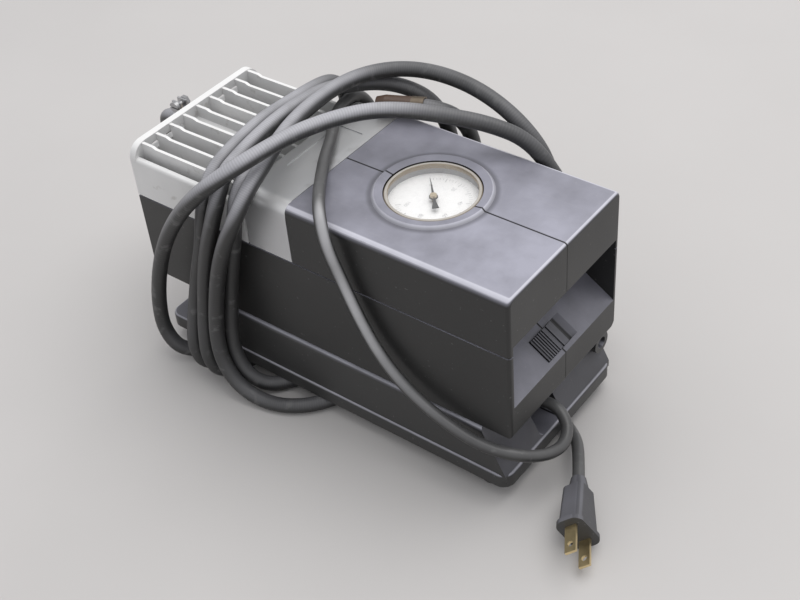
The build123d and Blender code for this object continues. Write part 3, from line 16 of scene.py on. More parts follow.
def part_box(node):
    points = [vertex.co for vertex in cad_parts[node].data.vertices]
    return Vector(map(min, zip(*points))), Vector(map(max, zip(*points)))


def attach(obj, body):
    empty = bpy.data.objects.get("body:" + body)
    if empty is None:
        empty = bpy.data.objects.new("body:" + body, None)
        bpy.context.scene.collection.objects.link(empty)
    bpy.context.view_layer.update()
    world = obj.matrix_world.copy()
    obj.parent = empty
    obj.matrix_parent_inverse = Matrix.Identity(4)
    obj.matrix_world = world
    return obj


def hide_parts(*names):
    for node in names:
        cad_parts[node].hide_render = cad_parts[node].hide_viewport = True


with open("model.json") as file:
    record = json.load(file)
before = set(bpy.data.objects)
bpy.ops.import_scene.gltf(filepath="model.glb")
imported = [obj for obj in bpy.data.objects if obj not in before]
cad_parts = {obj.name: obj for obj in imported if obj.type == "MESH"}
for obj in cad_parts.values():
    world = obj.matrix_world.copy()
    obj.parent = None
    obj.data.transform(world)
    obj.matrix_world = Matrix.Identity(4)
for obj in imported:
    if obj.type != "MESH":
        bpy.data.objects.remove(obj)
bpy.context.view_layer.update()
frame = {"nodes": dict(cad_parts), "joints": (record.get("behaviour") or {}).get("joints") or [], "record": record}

bl_info = {
    "name": "Portable air compressor",
    "version": (1, 0, 0),
    "blender": (4, 5, 0),
    "location": "View3D > Sidebar > Compressor",
    "description": "Builds the looks of a portable air compressor round its solid model",
    "category": "Object",
}

# ---- hose and cord --------------------------------------------------------------------------
HOSE_D = 0.0085
HOSE_LENGTH = 3.56
HOSE_RING_PITCH = 0.0014        # from one ring of the hose's jacket to the next
CORD_D = 0.0065
STEPS_BETWEEN_POINTS = 6

HOSE_POINTS = [
    (-0.1297, 0, 0.12), (-0.146, 0, 0.12), (-0.157, 0.005, 0.107), (-0.161, 0.015, 0.085),
    (-0.159, 0.03, 0.06), (-0.152, 0.049, 0.035), (-0.138, 0.071, 0.014), (-0.116, 0.09, 0.005),
    (-0.086, 0.102, 0.0048), (-0.054, 0.107, 0.0049), (-0.02, 0.108, 0.0048), (0.014, 0.106, 0.0052),
    (0.048, 0.099, 0.009), (0.076, 0.087, 0.023), (0.09, 0.076, 0.047), (0.093, 0.068, 0.075),
    (0.089, 0.0625, 0.101), (0.08, 0.0585, 0.124), (0.0665, 0.0525, 0.146), (0.049, 0.0415, 0.156),
    (0.03, 0.03, 0.161), (0.013, 0.021, 0.1635), (-0.003, 0.01, 0.164), (-0.015, -0.008, 0.164),
    (-0.023, -0.027, 0.1635), (-0.028, -0.047, 0.162), (-0.037, -0.063, 0.156),
    (-0.055, -0.069, 0.1395), (-0.074, -0.069, 0.1175), (-0.09, -0.068, 0.093),
    (-0.101, -0.0675, 0.068), (-0.108, -0.0675, 0.043), (-0.109, -0.068, 0.022),
    (-0.1005, -0.0665, 0.0085), (-0.091, -0.056, 0.0046), (-0.081, -0.035, 0.0046),
    (-0.077, -0.012, 0.0046), (-0.076, 0.012, 0.0046), (-0.077, 0.036, 0.0046), (-0.074, 0.06, 0.0047),
    (-0.063, 0.08, 0.0048), (-0.041, 0.093, 0.0049), (-0.014, 0.098, 0.0049), (0.012, 0.096, 0.007),
    (0.035, 0.089, 0.016), (0.054, 0.081, 0.033), (0.066, 0.0745, 0.054), (0.0715, 0.0705, 0.079),
    (0.073, 0.0685, 0.104), (0.068, 0.0675, 0.126), (0.056, 0.0665, 0.141), (0.038, 0.067, 0.151),
    (0.018, 0.068, 0.1555), (-0.003, 0.0665, 0.157), (-0.021, 0.06, 0.157), (-0.034, 0.047, 0.1565),
    (-0.04, 0.03, 0.156), (-0.0415, 0.011, 0.155), (-0.04, -0.008, 0.154), (-0.036, -0.026, 0.1525),
    (-0.031, -0.043, 0.15), (-0.03, -0.057, 0.144), (-0.033, -0.065, 0.131), (-0.041, -0.067, 0.115),
    (-0.049, -0.067, 0.097), (-0.055, -0.067, 0.079), (-0.0585, -0.0685, 0.06), (-0.06, -0.0705, 0.042),
    (-0.0585, -0.0715, 0.025), (-0.05, -0.0715, 0.011), (-0.036, -0.07, 0.0047),
    (-0.019, -0.066, 0.0047), (-0.005, -0.054, 0.0046), (0.004, -0.037, 0.0046),
    (0.008, -0.016, 0.0046), (0.009, 0.008, 0.0046), (0.008, 0.032, 0.0046), (0.008, 0.058, 0.0046),
    (0.0085, 0.069, 0.014), (0.008, 0.067, 0.036), (0.007, 0.067, 0.06), (0.007, 0.0675, 0.084),
    (0.008, 0.067, 0.106), (0.005, 0.0665, 0.126), (-0.003, 0.0635, 0.141), (-0.017, 0.06, 0.1465),
    (-0.031, 0.0545, 0.148), (-0.042, 0.0435, 0.149), (-0.0485, 0.029, 0.1513),
    (-0.0515, 0.012, 0.1515), (-0.052, -0.006, 0.1512), (-0.0505, -0.024, 0.1507),
    (-0.048, -0.041, 0.15), (-0.047, -0.055, 0.147), (-0.047, -0.0625, 0.135), (-0.054, -0.065, 0.114),
    (-0.061, -0.065, 0.095), (-0.0665, -0.065, 0.076), (-0.0695, -0.0665, 0.057),
    (-0.0705, -0.0695, 0.039), (-0.07, -0.0715, 0.022), (-0.068, -0.068, 0.009),
    (-0.0645, -0.056, 0.0046), (-0.06, -0.04, 0.0046), (-0.057, -0.02, 0.0046), (-0.055, 0.002, 0.0046),
    (-0.052, 0.024, 0.0046), (-0.05, 0.047, 0.0046), (-0.051, 0.0585, 0.0052), (-0.0545, 0.066, 0.0145),
    (-0.0575, 0.0665, 0.03), (-0.0605, 0.063, 0.05), (-0.0625, 0.06, 0.072), (-0.063, 0.059, 0.094),
    (-0.0625, 0.06, 0.114), (-0.062, 0.06, 0.125), (-0.062, 0.0575, 0.1342), (-0.064, 0.0495, 0.1412),
    (-0.067, 0.036, 0.1412), (-0.069, 0.018, 0.1408), (-0.069, 0, 0.142), (-0.067, -0.017, 0.142),
    (-0.064, -0.033, 0.142), (-0.062, -0.047, 0.1405), (-0.0615, -0.058, 0.13),
    (-0.065, -0.0595, 0.112), (-0.0695, -0.0598, 0.094), (-0.076, -0.06, 0.076),
    (-0.0795, -0.0625, 0.058), (-0.081, -0.0665, 0.041), (-0.0815, -0.07, 0.026),
    (-0.08, -0.069, 0.012), (-0.076, -0.06, 0.0047), (-0.074, -0.045, 0.0046),
    (-0.0695, -0.024, 0.0046), (-0.067, -0.001, 0.0046), (-0.0675, 0.022, 0.0046),
    (-0.065, 0.044, 0.0046), (-0.0625, 0.0615, 0.0047), (-0.054, 0.074, 0.007), (-0.046, 0.0805, 0.017),
    (-0.043, 0.079, 0.034), (-0.044, 0.074, 0.053), (-0.047, 0.067, 0.072), (-0.0505, 0.061, 0.092),
    (-0.052, 0.0585, 0.112), (-0.052, 0.059, 0.127), (-0.0525, 0.055, 0.139), (-0.0535, 0.043, 0.1445),
    (-0.0545, 0.027, 0.1425), (-0.054, 0.008, 0.142), (-0.05, -0.012, 0.142), (-0.0445, -0.031, 0.1423),
    (-0.042, -0.044, 0.1425), (-0.04, -0.0545, 0.1375), (-0.041, -0.058, 0.125),
    (-0.045, -0.0575, 0.11), (-0.0485, -0.0583, 0.094), (-0.054, -0.0575, 0.076),
    (-0.057, -0.0585, 0.058), (-0.0585, -0.0605, 0.041), (-0.0575, -0.0625, 0.026),
    (-0.051, -0.063, 0.0125), (-0.039, -0.059, 0.005), (-0.028, -0.046, 0.0046),
    (-0.019, -0.026, 0.0046), (-0.014, -0.003, 0.0046), (-0.013, 0.02, 0.0046),
    (-0.0105, 0.043, 0.0046), (-0.006, 0.062, 0.0048), (0.003, 0.073, 0.006), (0.014, 0.0775, 0.014),
    (0.02, 0.0755, 0.031), (0.0215, 0.0715, 0.052), (0.021, 0.068, 0.076), (0.022, 0.066, 0.1),
    (0.0235, 0.065, 0.122), (0.019, 0.0605, 0.138), (0.0083, 0.0515, 0.1466), (-0.003, 0.0475, 0.146),
]

CORD_POINTS = [
    (0.0935, -0.006, 0.03), (0.107, -0.006, 0.03), (0.1205, -0.005, 0.031), (0.1305, -0.01, 0.0265),
    (0.1355, -0.022, 0.0245), (0.133, -0.037, 0.029), (0.124, -0.05, 0.0355), (0.106, -0.057, 0.04),
    (0.084, -0.0575, 0.046), (0.064, -0.057, 0.055), (0.047, -0.0565, 0.07), (0.035, -0.056, 0.09),
    (0.026, -0.056, 0.112), (0.02, -0.0575, 0.132), (0.013, -0.052, 0.146), (0.003, -0.039, 0.147),
    (-0.008, -0.025, 0.142), (-0.018, -0.0105, 0.1409), (-0.026, 0.0045, 0.1408),
    (-0.035, 0.018, 0.1408), (-0.042, 0.031, 0.1408), (-0.044, 0.047, 0.141), (-0.0425, 0.0572, 0.1305),
    (-0.037, 0.056, 0.113), (-0.029, 0.055, 0.09), (-0.02, 0.055, 0.066), (-0.008, 0.056, 0.043),
    (0.006, 0.0575, 0.023), (0.02, 0.0595, 0.0065), (0.036, 0.047, 0.0036), (0.056, 0.036, 0.0036),
    (0.078, 0.025, 0.0036), (0.096, 0.0185, 0.0036), (0.109, 0.0135, 0.0036), (0.1195, 0.0075, 0.0043),
    (0.1273, 0.001, 0.0075), (0.1342, -0.0065, 0.011), (0.1413, -0.0171, 0.0123),
    (0.148, -0.0283, 0.0123),
]

# ---- gauge ----------------------------------------------------------------------------------
GAUGE_PIVOT = next(joint for joint in frame["joints"] if joint["name"] == "gauge_needle")["pos_m"]
DIAL_SWEEP = 270.0              # degrees the pointer can turn
DIAL_START = 132.0              # direction of the zero mark, in degrees from +X
NUMBER_TURN = -90.0             # the numbers read with their tops towards the nose
SCALE_STEPS = 50
STEPS_TO_LONG_MARK = 5
LONG_MARK = (0.0030, 0.00042)   # length and width
SHORT_MARK = (0.0017, 0.00022)
NUMBER_GAPS = 5
NUMBER_STEP = 20

# ---- camera, light and floor ----------------------------------------------------------------
CAMERA_PLACE = (0.3784, -0.4240, 0.5360)
CAMERA_TURN = 39.44             # degrees round the vertical
CAMERA_TILT = 40.96             # degrees above the floor
CAMERA_ROLL = -4.65
CAMERA_SHIFT = (-0.0251, -0.0021)
SENSOR_WIDTH = 36.0             # millimetres
LAMP_PLACE = (0.15, 0.40, 1.55)
LAMP_AIM = (0.0, 0.0, 0.05)
LAMP_COLOUR = (1.0, 0.985, 0.96)
FLOOR_HALF = 4.0                # half the side of the floor

# ---- where dust, wear and painted light lie: the low and the high end of a soft step --------
DUST_AND_SHEEN_TO_NOSE_X = (0.02, 0.12)           # the dust and painted sheen grow towards the nose,
DUST_AND_SHEEN_OFF_NEAR_Y = (-0.045, 0.025)       # fade away from the near side,
DUST_AND_SHEEN_UP_Z = (0.045, 0.115)              # and grow towards the top, dimming low down as painted shade
BASE_TOP_Z = (0.042, 0.048)             # the base is greyer up to here
FIN_GAP_Z = (0.1185, 0.1325)            # grime lies between the fins up to here,
FIN_GAP_Y = (0.0462, 0.0478)            # out to here on both sides
FIN_TOP_Z = (0.122, 0.130)              # the tops of the fins are polished and get a painted highlight from here
HOSE_SHEEN_OFF_REAR_X = (-0.010, 0.040)   # the hose has a painted sheen at the rear,
HOSE_SHEEN_OFF_NEAR_Y = (0.015, 0.060)    # on the near side,
HOSE_SHEEN_UP_Z = (0.075, 0.135)          # and high up
CORD_HIGHLIGHT_OFF_NEAR_Y = (-0.052, -0.040)    # the cord has a painted highlight outside the near wall,
CORD_HIGHLIGHT_UP_Z = (0.035, 0.098)            # and high up

# ---- the same for places with two sides: where it starts, is full, fades and ends -----------
NOSE_RAMP_Z = (0.062, 0.065, 0.095, 0.098)
# where painted shade lies in the slot of the switch and round the foot of the gauge's ring
SWITCH_SLOT_X = (0.1040, 0.1042, 0.1214, 0.1216)
SWITCH_SLOT_Y = (0.0050, 0.0056, 0.0108, 0.0116)
SWITCH_SLOT_DEPTH = (0.0006, 0.0016, 0.0050, 0.0056)
RING_FOOT_RADIUS = (0.0298, 0.0314, 0.0322, 0.0350)
RING_FOOT_Z = (0.130, 0.136, 0.144, 0.150)

NOSE_RAMP_FOOT = (0.1223, 0.0666)       # X and Z of a point at the foot of the ramp
NOSE_RAMP_RISE = 0.6494                 # how much the ramp rises for each metre to the rear
SEAM_HALF = 0.0006                      # half the width of the seam between the two halves
SEAM_FADE = 0.0001

# ---- colours of dust, wear and painted light ------------------------------------------------


def grey(level, blue=0.0):
    """Colour of one level, a little bluer."""
    return (level, level, level * (1 + blue), 1.0)


def dimmed(colour, factor):
    """The same colour at another level."""
    return tuple(channel * factor for channel in colour[:3]) + (1.0,)


SHADOW = grey(0.006)
SEAM_DARK = grey(0.004)
SCRATCH = grey(0.45)
HOSE_DUST = grey(0.16, 0.06)
HOSE_PAINTED_SHEEN = grey(0.44, 0.08)
HOSE_GROOVE = grey(0.014)
HOSE_SCUFF = grey(0.22)
CORD_DUST_AND_SHEEN = grey(0.14, 0.02)
CORD_PAINTED_HIGHLIGHT = grey(0.50, 0.04)
CORD_SCUFF = grey(0.26)
SILVER_DULL = (0.50, 0.505, 0.515, 1)
SILVER_GRIME = (0.26, 0.255, 0.245, 1)
SILVER_PAINTED_HIGHLIGHT = (0.95, 0.95, 0.96, 1)
ALLOY_DULL = (0.64, 0.64, 0.645, 1)
ALLOY_GRIME = (0.36, 0.355, 0.35, 1)
ALLOY_STAIN = (0.30, 0.275, 0.24, 1)
ALLOY_POLISH_AND_HIGHLIGHT = (0.92, 0.92, 0.92, 1)
RIM_TARNISH = (0.24, 0.19, 0.14, 1)
RIM_TAN = (0.50, 0.44, 0.36, 1)
RIM_TOP_HIGHLIGHT = (0.56, 0.54, 0.51, 1)
DIAL_INK = (0.60, 0.60, 0.61, 1)
LENS_TINT = (0.97, 0.97, 0.97, 1)
FLOOR_MOTTLE = (0.55, 0.535, 0.53, 1)

UP = (0, 0, 1)
LIT_FROM_NEAR = (0.10, -0.42, 0.90)     # ways that surfaces with a painted sheen and painted highlights face
CORD_OUTWARD = (0.62, -0.60, 0.50)
BAND_FOLD = (0, -0.62, 0.78)


# ---- properties -----------------------------------------------------------------------------
def colour_property(name, description, default):
    """A colour that the panel shows."""
    return FloatVectorProperty(
        name=name, description=description, default=default, size=4, min=0.0, max=1.0, subtype="COLOR"
    )


class CompressorColourSettings(bpy.types.PropertyGroup):
    """Colours of the finishes, before dust, wear and painted light."""

    housing: colour_property("Housing", "Black plastic of the two halves", grey(0.016))
    trim: colour_property("Trim", "Black plastic of the switch and the small pieces", grey(0.014))
    plug: colour_property("Plug", "Black plastic of the plug", grey(0.024))
    hose: colour_property("Hose", "Rubber of the air hose", grey(0.026))
    cord: colour_property("Cord", "Jacket of the power cord", grey(0.024))
    silver: colour_property("Silver band", "Silver paint of the band", (0.68, 0.685, 0.70, 1))
    alloy: colour_property("Finned head", "Cast alloy of the head", (0.78, 0.78, 0.78, 1))
    dial: colour_property("Dial", "Face of the gauge", (1.0, 1.0, 1.0, 1))
    blades: colour_property("Blades", "Brass of the plug's blades", (0.74, 0.60, 0.34, 1))


class CompressorCordSettings(bpy.types.PropertyGroup):
    """Hose and power cord."""

    hose_diameter: FloatProperty(
        name="Hose diameter", description="Outside diameter of the air hose", default=HOSE_D, unit="LENGTH"
    )
    cord_diameter: FloatProperty(
        name="Cord diameter", description="Outside diameter of the power cord", default=CORD_D, unit="LENGTH"
    )
    sides: IntProperty(name="Sides", description="Half the sides of the tubes, less two", default=6)


class CompressorDialSettings(bpy.types.PropertyGroup):
    """Printing on the dial of the gauge."""

    mark_radius: FloatProperty(
        name="Mark radius", description="Outer end of the scale marks", default=0.0196, unit="LENGTH"
    )
    number_radius: FloatProperty(
        name="Number radius", description="Middle of the numbers", default=0.0135, unit="LENGTH"
    )
    number_height: FloatProperty(
        name="Number height", description="Height of the numbers", default=0.0030, unit="LENGTH"
    )
    print_height: FloatProperty(
        name="Print height",
        description="Height of the printing above the dial",
        default=0.00005,
        unit="LENGTH",
    )


class CompressorStageSettings(bpy.types.PropertyGroup):
    """Camera, light and floor."""

    focal_length: FloatProperty(name="Focal length", description="Lens of the camera, mm", default=60.1)
    sky_strength: FloatProperty(name="Sky strength", description="Strength of the even light", default=0.74)
    sky_colour: colour_property("Sky colour", "Colour of the even light", (0.96, 0.965, 0.98, 1))
    lamp_power: FloatProperty(
        name="Lamp power", description="Power of the large soft lamp, watts", default=15.0
    )
    lamp_size: FloatProperty(
        name="Lamp size", description="Side of the soft lamp", default=1.6, unit="LENGTH"
    )
    floor_colour: colour_property("Floor colour", "Palest colour of the floor", (0.61, 0.595, 0.59, 1))


# ---- shader helpers -------------------------------------------------------------------------
class Value:
    """An output of a shader node. Arithmetic on it makes Math nodes."""

    def __init__(self, graph, socket):
        self.graph = graph
        self.socket = socket

    def maths(self, operation, other=0.0, third=0.0):
        inputs = {0: self, 1: other, 2: third}
        return self.graph.node("ShaderNodeMath", inputs, operation=operation)

    def __add__(self, other):
        return self.maths("ADD", other)

    def __sub__(self, other):
        return self.maths("SUBTRACT", other)

    def __mul__(self, other):
        return self.maths("MULTIPLY", other)

    def __rsub__(self, other):
        return (self * -1.0) + other

    def __pow__(self, other):
        return self.maths("POWER", other)

    __radd__ = __add__
    __rmul__ = __mul__

    def sine(self):
        return self.maths("SINE")

    def absolute(self):
        return self.maths("ABSOLUTE")

    def ramp(self, low, high):
        """0 below low, 1 above high, smooth between."""
        inputs = {"Value": self, "From Min": low, "From Max": high}
        return self.graph.node("ShaderNodeMapRange", inputs, interpolation_type="SMOOTHSTEP")

    def window(self, start, full, fade, end):
        """0 outside start and end, 1 between full and fade, smooth between."""
        return self.ramp(start, full) * (1.0 - self.ramp(fade, end))


class Graph:
    """The node tree of one material, with its nodes made through one method."""

    def __init__(self, name):
        self.material = bpy.data.materials.new(name)
        self.material.use_nodes = True
        self.tree = self.material.node_tree
        self.tree.nodes.clear()
        self.place = self.node("ShaderNodeTexCoord", output="Object")

    def node(self, kind, inputs=None, output=0, **settings):
        """Make a node, set or link its inputs, and give one of its outputs."""
        made = self.tree.nodes.new(kind)
        for key, value in settings.items():
            setattr(made, key, value)
        for key, value in (inputs or {}).items():
            if isinstance(value, Value):
                self.tree.links.new(value.socket, made.inputs[key])
            else:
                made.inputs[key].default_value = value
        return Value(self, made.outputs[output]) if made.outputs else made

    def noise(self, scale, detail=3.0, stretch=(1, 1, 1), turn=0.0):
        """Noise of so many waves to the metre, squeezed along each axis by stretch."""
        mapping = {"Vector": self.place, "Scale": stretch, "Rotation": (0, 0, turn)}
        place = self.node("ShaderNodeMapping", mapping)
        return self.node("ShaderNodeTexNoise", {"Vector": place, "Scale": scale, "Detail": detail})

    def part(self, vector, axis):
        """One of the three numbers of a vector."""
        return self.node("ShaderNodeSeparateXYZ", {0: vector}, output=axis)

    def slope(self):
        """How far the surface faces up: 1 on top, 0 on a wall, -1 below."""
        return self.part(self.node("ShaderNodeNewGeometry", output="Normal"), "Z")

    def facing(self, way, low, high):
        """1 where the surface faces one way, 0 where it faces off, smooth between two cosines."""
        inputs = {0: self.node("ShaderNodeNewGeometry", output="Normal"), 1: way}
        cosine = self.node("ShaderNodeVectorMath", inputs, output="Value", operation="DOT_PRODUCT")
        return cosine.ramp(low, high)

    def along(self, axis):
        """Place along one of the three axes."""
        return self.part(self.place, axis)

    def blend(self, amount, low, high):
        """Colour that goes from low to high as amount goes from 0 to 1."""
        inputs = {"Factor": amount, 6: low, 7: high}
        return self.node("ShaderNodeMix", inputs, output=2, data_type="RGBA")

    def relief(self, height, strength=0.4, distance=0.0004):
        """Normal tilted by a height."""
        return self.node("ShaderNodeBump", {"Height": height, "Strength": strength, "Distance": distance})

    def surface(self, colour, roughness, normal=None, **constants):
        """Close the tree with one Principled surface."""
        inputs = {"Base Color": colour, "Roughness": roughness, **constants}
        if normal is not None:
            inputs["Normal"] = normal
        shader = self.node("ShaderNodeBsdfPrincipled", inputs)
        self.node("ShaderNodeOutputMaterial", {"Surface": shader})
        return self.material


def chosen(key):
    """One of the colours that the panel shows."""
    return tuple(getattr(bpy.context.scene.compressor_colours, key))


# ---- materials ------------------------------------------------------------------------------
def black_plastic(name, base, dust=0.36, roughness=0.36, grain=0.2, seam=0.0):
    """Black moulded plastic: blue-grey dust and painted sheen where it faces up, a pale painted
    highlight on its curved edges.

    The dust and sheen grow towards the nose and the near side, and dim towards the bottom as
    painted shade. With a seam, the slot of the switch and the foot of the gauge's ring get
    painted shade, and a seam of the given half width stays dark where the two halves meet.
    """
    graph = Graph(name)
    cloud = graph.noise(19, 6)
    blotch = graph.noise(70, 5)
    fine = graph.noise(900, 2)
    slope = graph.slope()
    height = graph.along("Z")
    front = graph.along("X").ramp(*DUST_AND_SHEEN_TO_NOSE_X)
    near = 1.0 - graph.along("Y").ramp(*DUST_AND_SHEEN_OFF_NEAR_Y)
    # painted sheen: the haze is lighter towards the nose and the near side
    forward = front * (near * 0.26 + 0.08) + 0.66
    # painted shade: the haze and the edge highlight dim towards the bottom
    painted_shade_low = height.ramp(*DUST_AND_SHEEN_UP_Z) * 0.55 + 0.45
    mottle = (cloud - 0.5) * 1.1 + (blotch - 0.5) * 0.7 + 1.0
    # dust and painted sheen on faces that look up
    dust_and_sheen = slope.ramp(0.10, 0.98) * forward * mottle * painted_shade_low
    # painted highlight along the curved edges, kept off the ramp of the nose
    edges = slope.window(0.50, 0.75, 0.93, 0.985) * (1.0 - height.window(*NOSE_RAMP_Z))
    painted_edge_highlight = edges * (blotch * 0.6 + 0.6) * painted_shade_low
    lower = graph.blend(1.0 - height.ramp(*BASE_TOP_Z), base, dimmed(base, 2.0))
    scratch = graph.noise(30, 2, (1, 22, 1), radians(33)).ramp(0.67, 0.72) * slope.ramp(0.2, 0.6)
    specks = graph.noise(520, 1).ramp(0.73, 0.79)
    # dust and painted sheen laid over the plastic
    hazed = graph.blend(dust_and_sheen, lower, grey(dust, 0.20))
    edge_highlighted = graph.blend(painted_edge_highlight * 0.90, hazed, grey(dust * 1.8, 0.12))
    colour = graph.blend(scratch * 0.06 + specks * 0.12, edge_highlighted, SCRATCH)
    if seam:
        # painted shade in the slot of the switch and round the gauge's ring
        shaded = graph.blend(housing_shadows(graph), colour, SHADOW)
        split = 1.0 - graph.along("Y").absolute().ramp(seam * 0.6, seam + SEAM_FADE)
        colour = graph.blend(split * 0.85, shaded, SEAM_DARK)
    shine = (dust_and_sheen * 0.08 + roughness) + (cloud - 0.5) * 0.20 + fine * 0.05
    return graph.surface(colour, shine, graph.relief(fine, grain, 0.00012))


def housing_shadows(graph):
    """Painted shade in the slot of the switch and round the foot of the gauge's ring.

    The slot is found by its depth below the plane of the ramp, the ring by its distance
    from the gauge's axis.
    """
    x = graph.along("X")
    y = graph.along("Y")
    plane = (NOSE_RAMP_FOOT[0] - x) * NOSE_RAMP_RISE + NOSE_RAMP_FOOT[1]
    depth = plane - graph.along("Z")
    slot = depth.window(*SWITCH_SLOT_DEPTH) * x.window(*SWITCH_SLOT_X) * y.window(*SWITCH_SLOT_Y)
    reach = ((x - GAUGE_PIVOT[0]) ** 2.0 + y * y) ** 0.5
    foot = reach.window(*RING_FOOT_RADIUS) * graph.along("Z").window(*RING_FOOT_Z)
    return slot * 0.92 + foot * 0.45


def rubber(name, level=0.030, roughness=0.62):
    """Plain rubber with a dusty bloom."""
    graph = Graph(name)
    bloom = graph.noise(60, 4)
    fine = graph.noise(1400, 2)
    colour = graph.blend(bloom.ramp(0.35, 0.75), grey(level, 0.04), grey(level * 2.2, 0.02))
    return graph.surface(colour, roughness + (bloom - 0.5) * 0.2, graph.relief(fine, 0.2, 0.0001))


def ribbed_hose(name):
    """Hose rubber with fine rings across it, dust on its upper side and a painted sheen on the loops on top."""
    graph = Graph(name)
    along = graph.part(graph.node("ShaderNodeTexCoord", output="UV"), "X")
    rings = (along * (2 * pi * HOSE_LENGTH / HOSE_RING_PITCH)).sine() * 0.5 + 0.5
    bloom = graph.noise(34, 5)
    scuff = graph.noise(160, 3).ramp(0.58, 0.72)
    dusty = graph.blend(graph.facing(UP, -0.3, 1.0) * (bloom * 1.1 + 0.15), chosen("hose"), HOSE_DUST)
    # painted sheen on the loops that face the near side, high up at the rear
    painted_sheen = graph.facing(LIT_FROM_NEAR, 0.35, 0.97) * (bloom * 1.3 + 0.30)
    rear = 1.0 - graph.along("X").ramp(*HOSE_SHEEN_OFF_REAR_X)
    near = 1.0 - graph.along("Y").ramp(*HOSE_SHEEN_OFF_NEAR_Y)
    high = graph.along("Z").ramp(*HOSE_SHEEN_UP_Z)
    base = graph.blend(painted_sheen * rear * near * high, dusty, HOSE_PAINTED_SHEEN)
    ringed = graph.blend(rings * 0.16, base, HOSE_GROOVE)
    colour = graph.blend(scuff * 0.25, ringed, HOSE_SCUFF)
    return graph.surface(colour, 0.46 + (bloom - 0.5) * 0.25, graph.relief(rings, 0.14, 0.0003))


def cord_jacket(name):
    """Smooth cord jacket, a little shiny, with pale dust and painted sheen on top, and a painted highlight on its
    outward side high up.
    """
    graph = Graph(name)
    bloom = graph.noise(40, 4)
    scuff = graph.noise(210, 3).ramp(0.60, 0.74)
    # pale dust on top, also standing for a painted sheen
    dusty = graph.blend(graph.facing(UP, -0.2, 1.0) * (bloom * 0.9 + 0.3), chosen("cord"), CORD_DUST_AND_SHEEN)
    near = 1.0 - graph.along("Y").ramp(*CORD_HIGHLIGHT_OFF_NEAR_Y)
    # painted highlight on the outward side of the cord, high up by the near wall
    painted_highlight = graph.facing(CORD_OUTWARD, 0.45, 1.0) * graph.along("Z").ramp(*CORD_HIGHLIGHT_UP_Z) * near
    base = graph.blend(painted_highlight * (bloom * 0.8 + 0.45), dusty, CORD_PAINTED_HIGHLIGHT)
    colour = graph.blend(scuff * 0.2, base, CORD_SCUFF)
    return graph.surface(colour, 0.36 + (bloom - 0.5) * 0.2, graph.relief(bloom, 0.15, 0.0005))


def silver_paint(name):
    """Silver paint on plastic: fine flake, stained by dirt, with a painted highlight along its fold."""
    graph = Graph(name)
    cloud = graph.noise(22, 5)
    flake = graph.noise(3000, 1)
    stain = graph.noise(85, 5).ramp(0.60, 0.78)
    paint = graph.blend(cloud, SILVER_DULL, chosen("silver"))
    dirty = graph.blend(stain * 0.30, paint, SILVER_GRIME)
    # painted highlight along the fold of the band
    colour = graph.blend(graph.facing(BAND_FOLD, 0.80, 1.0) * 0.85, dirty, SILVER_PAINTED_HIGHLIGHT)
    shine = 0.30 + cloud * 0.16 + flake * 0.06
    return graph.surface(colour, shine, graph.relief(flake, 0.12, 0.0001), Metallic=0.65)


def cast_alloy(name):
    """Die-cast alloy: polished with a painted highlight on the fin tops, grey and grainy between them, stained in
    spots.
    """
    graph = Graph(name)
    height = graph.along("Z")
    across = graph.along("Y").absolute()
    cloud = graph.noise(48, 5)
    sand = graph.noise(1300, 3)
    stain = graph.noise(120, 5).ramp(0.62, 0.74)
    inside = (1.0 - height.ramp(*FIN_GAP_Z)) * (1.0 - across.ramp(*FIN_GAP_Y))
    cast = graph.blend(cloud, ALLOY_DULL, chosen("alloy"))
    grimy = graph.blend(inside * (sand * 0.4 + 0.15), cast, ALLOY_GRIME)
    spotted = graph.blend(stain * 0.35, grimy, ALLOY_STAIN)
    # fin tops: polish and a painted highlight
    tops = graph.slope().ramp(0.5, 0.95) * height.ramp(*FIN_TOP_Z)
    colour = graph.blend(tops * 0.7, spotted, ALLOY_POLISH_AND_HIGHLIGHT)
    return graph.surface(colour, 0.42 + cloud * 0.2, graph.relief(sand, 0.35, 0.0002), Metallic=0.15)


def metal(name, colour, roughness=0.30, grain=0.2):
    """Bare metal with a fine grain and slight tarnish."""
    graph = Graph(name)
    grains = graph.noise(600, 3)
    tarnish = graph.noise(70, 5).ramp(0.45, 0.8)
    mixed = graph.blend(tarnish * 0.6, colour, dimmed(colour, 0.55))
    return graph.surface(mixed, roughness + grains * 0.15, graph.relief(grains, grain, 0.0001), Metallic=1.0)


def painted(name, colour, roughness=0.45):
    """Even paint or paper with faint mottling."""
    graph = Graph(name)
    mottle = graph.noise(140, 4)
    return graph.surface(graph.blend(mottle, colour, dimmed(colour, 0.92)), roughness + mottle * 0.1)


def clear_lens(name):
    """Clear lens, hazed white by age and dust."""
    graph = Graph(name)
    dust = graph.noise(300, 4).ramp(0.5, 0.8)
    return graph.surface(LENS_TINT, 0.10 + dust * 0.2, Alpha=dust * 0.06 + 0.05)


def gauge_rim(name):
    """Bezel of the gauge: a pale painted highlight on top, tan tarnish on its walls."""
    graph = Graph(name)
    grains = graph.noise(400, 3)
    tarnish = graph.noise(90, 4)
    wall = graph.blend(tarnish, RIM_TARNISH, RIM_TAN)
    # painted highlight on the top of the bezel
    top = graph.facing(UP, 0.70, 0.95) * (tarnish * 0.4 + 0.55)
    colour = graph.blend(top, wall, RIM_TOP_HIGHLIGHT)
    return graph.surface(colour, 0.32 + grains * 0.1, graph.relief(grains, 0.15, 0.0001), Metallic=0.25)


def floor_paint(name, palest):
    """Plain pale floor with hardly any mottling."""
    graph = Graph(name)
    mottle = graph.noise(5, 4)
    return graph.surface(graph.blend(mottle, FLOOR_MOTTLE, palest), 0.85 + mottle * 0.05)


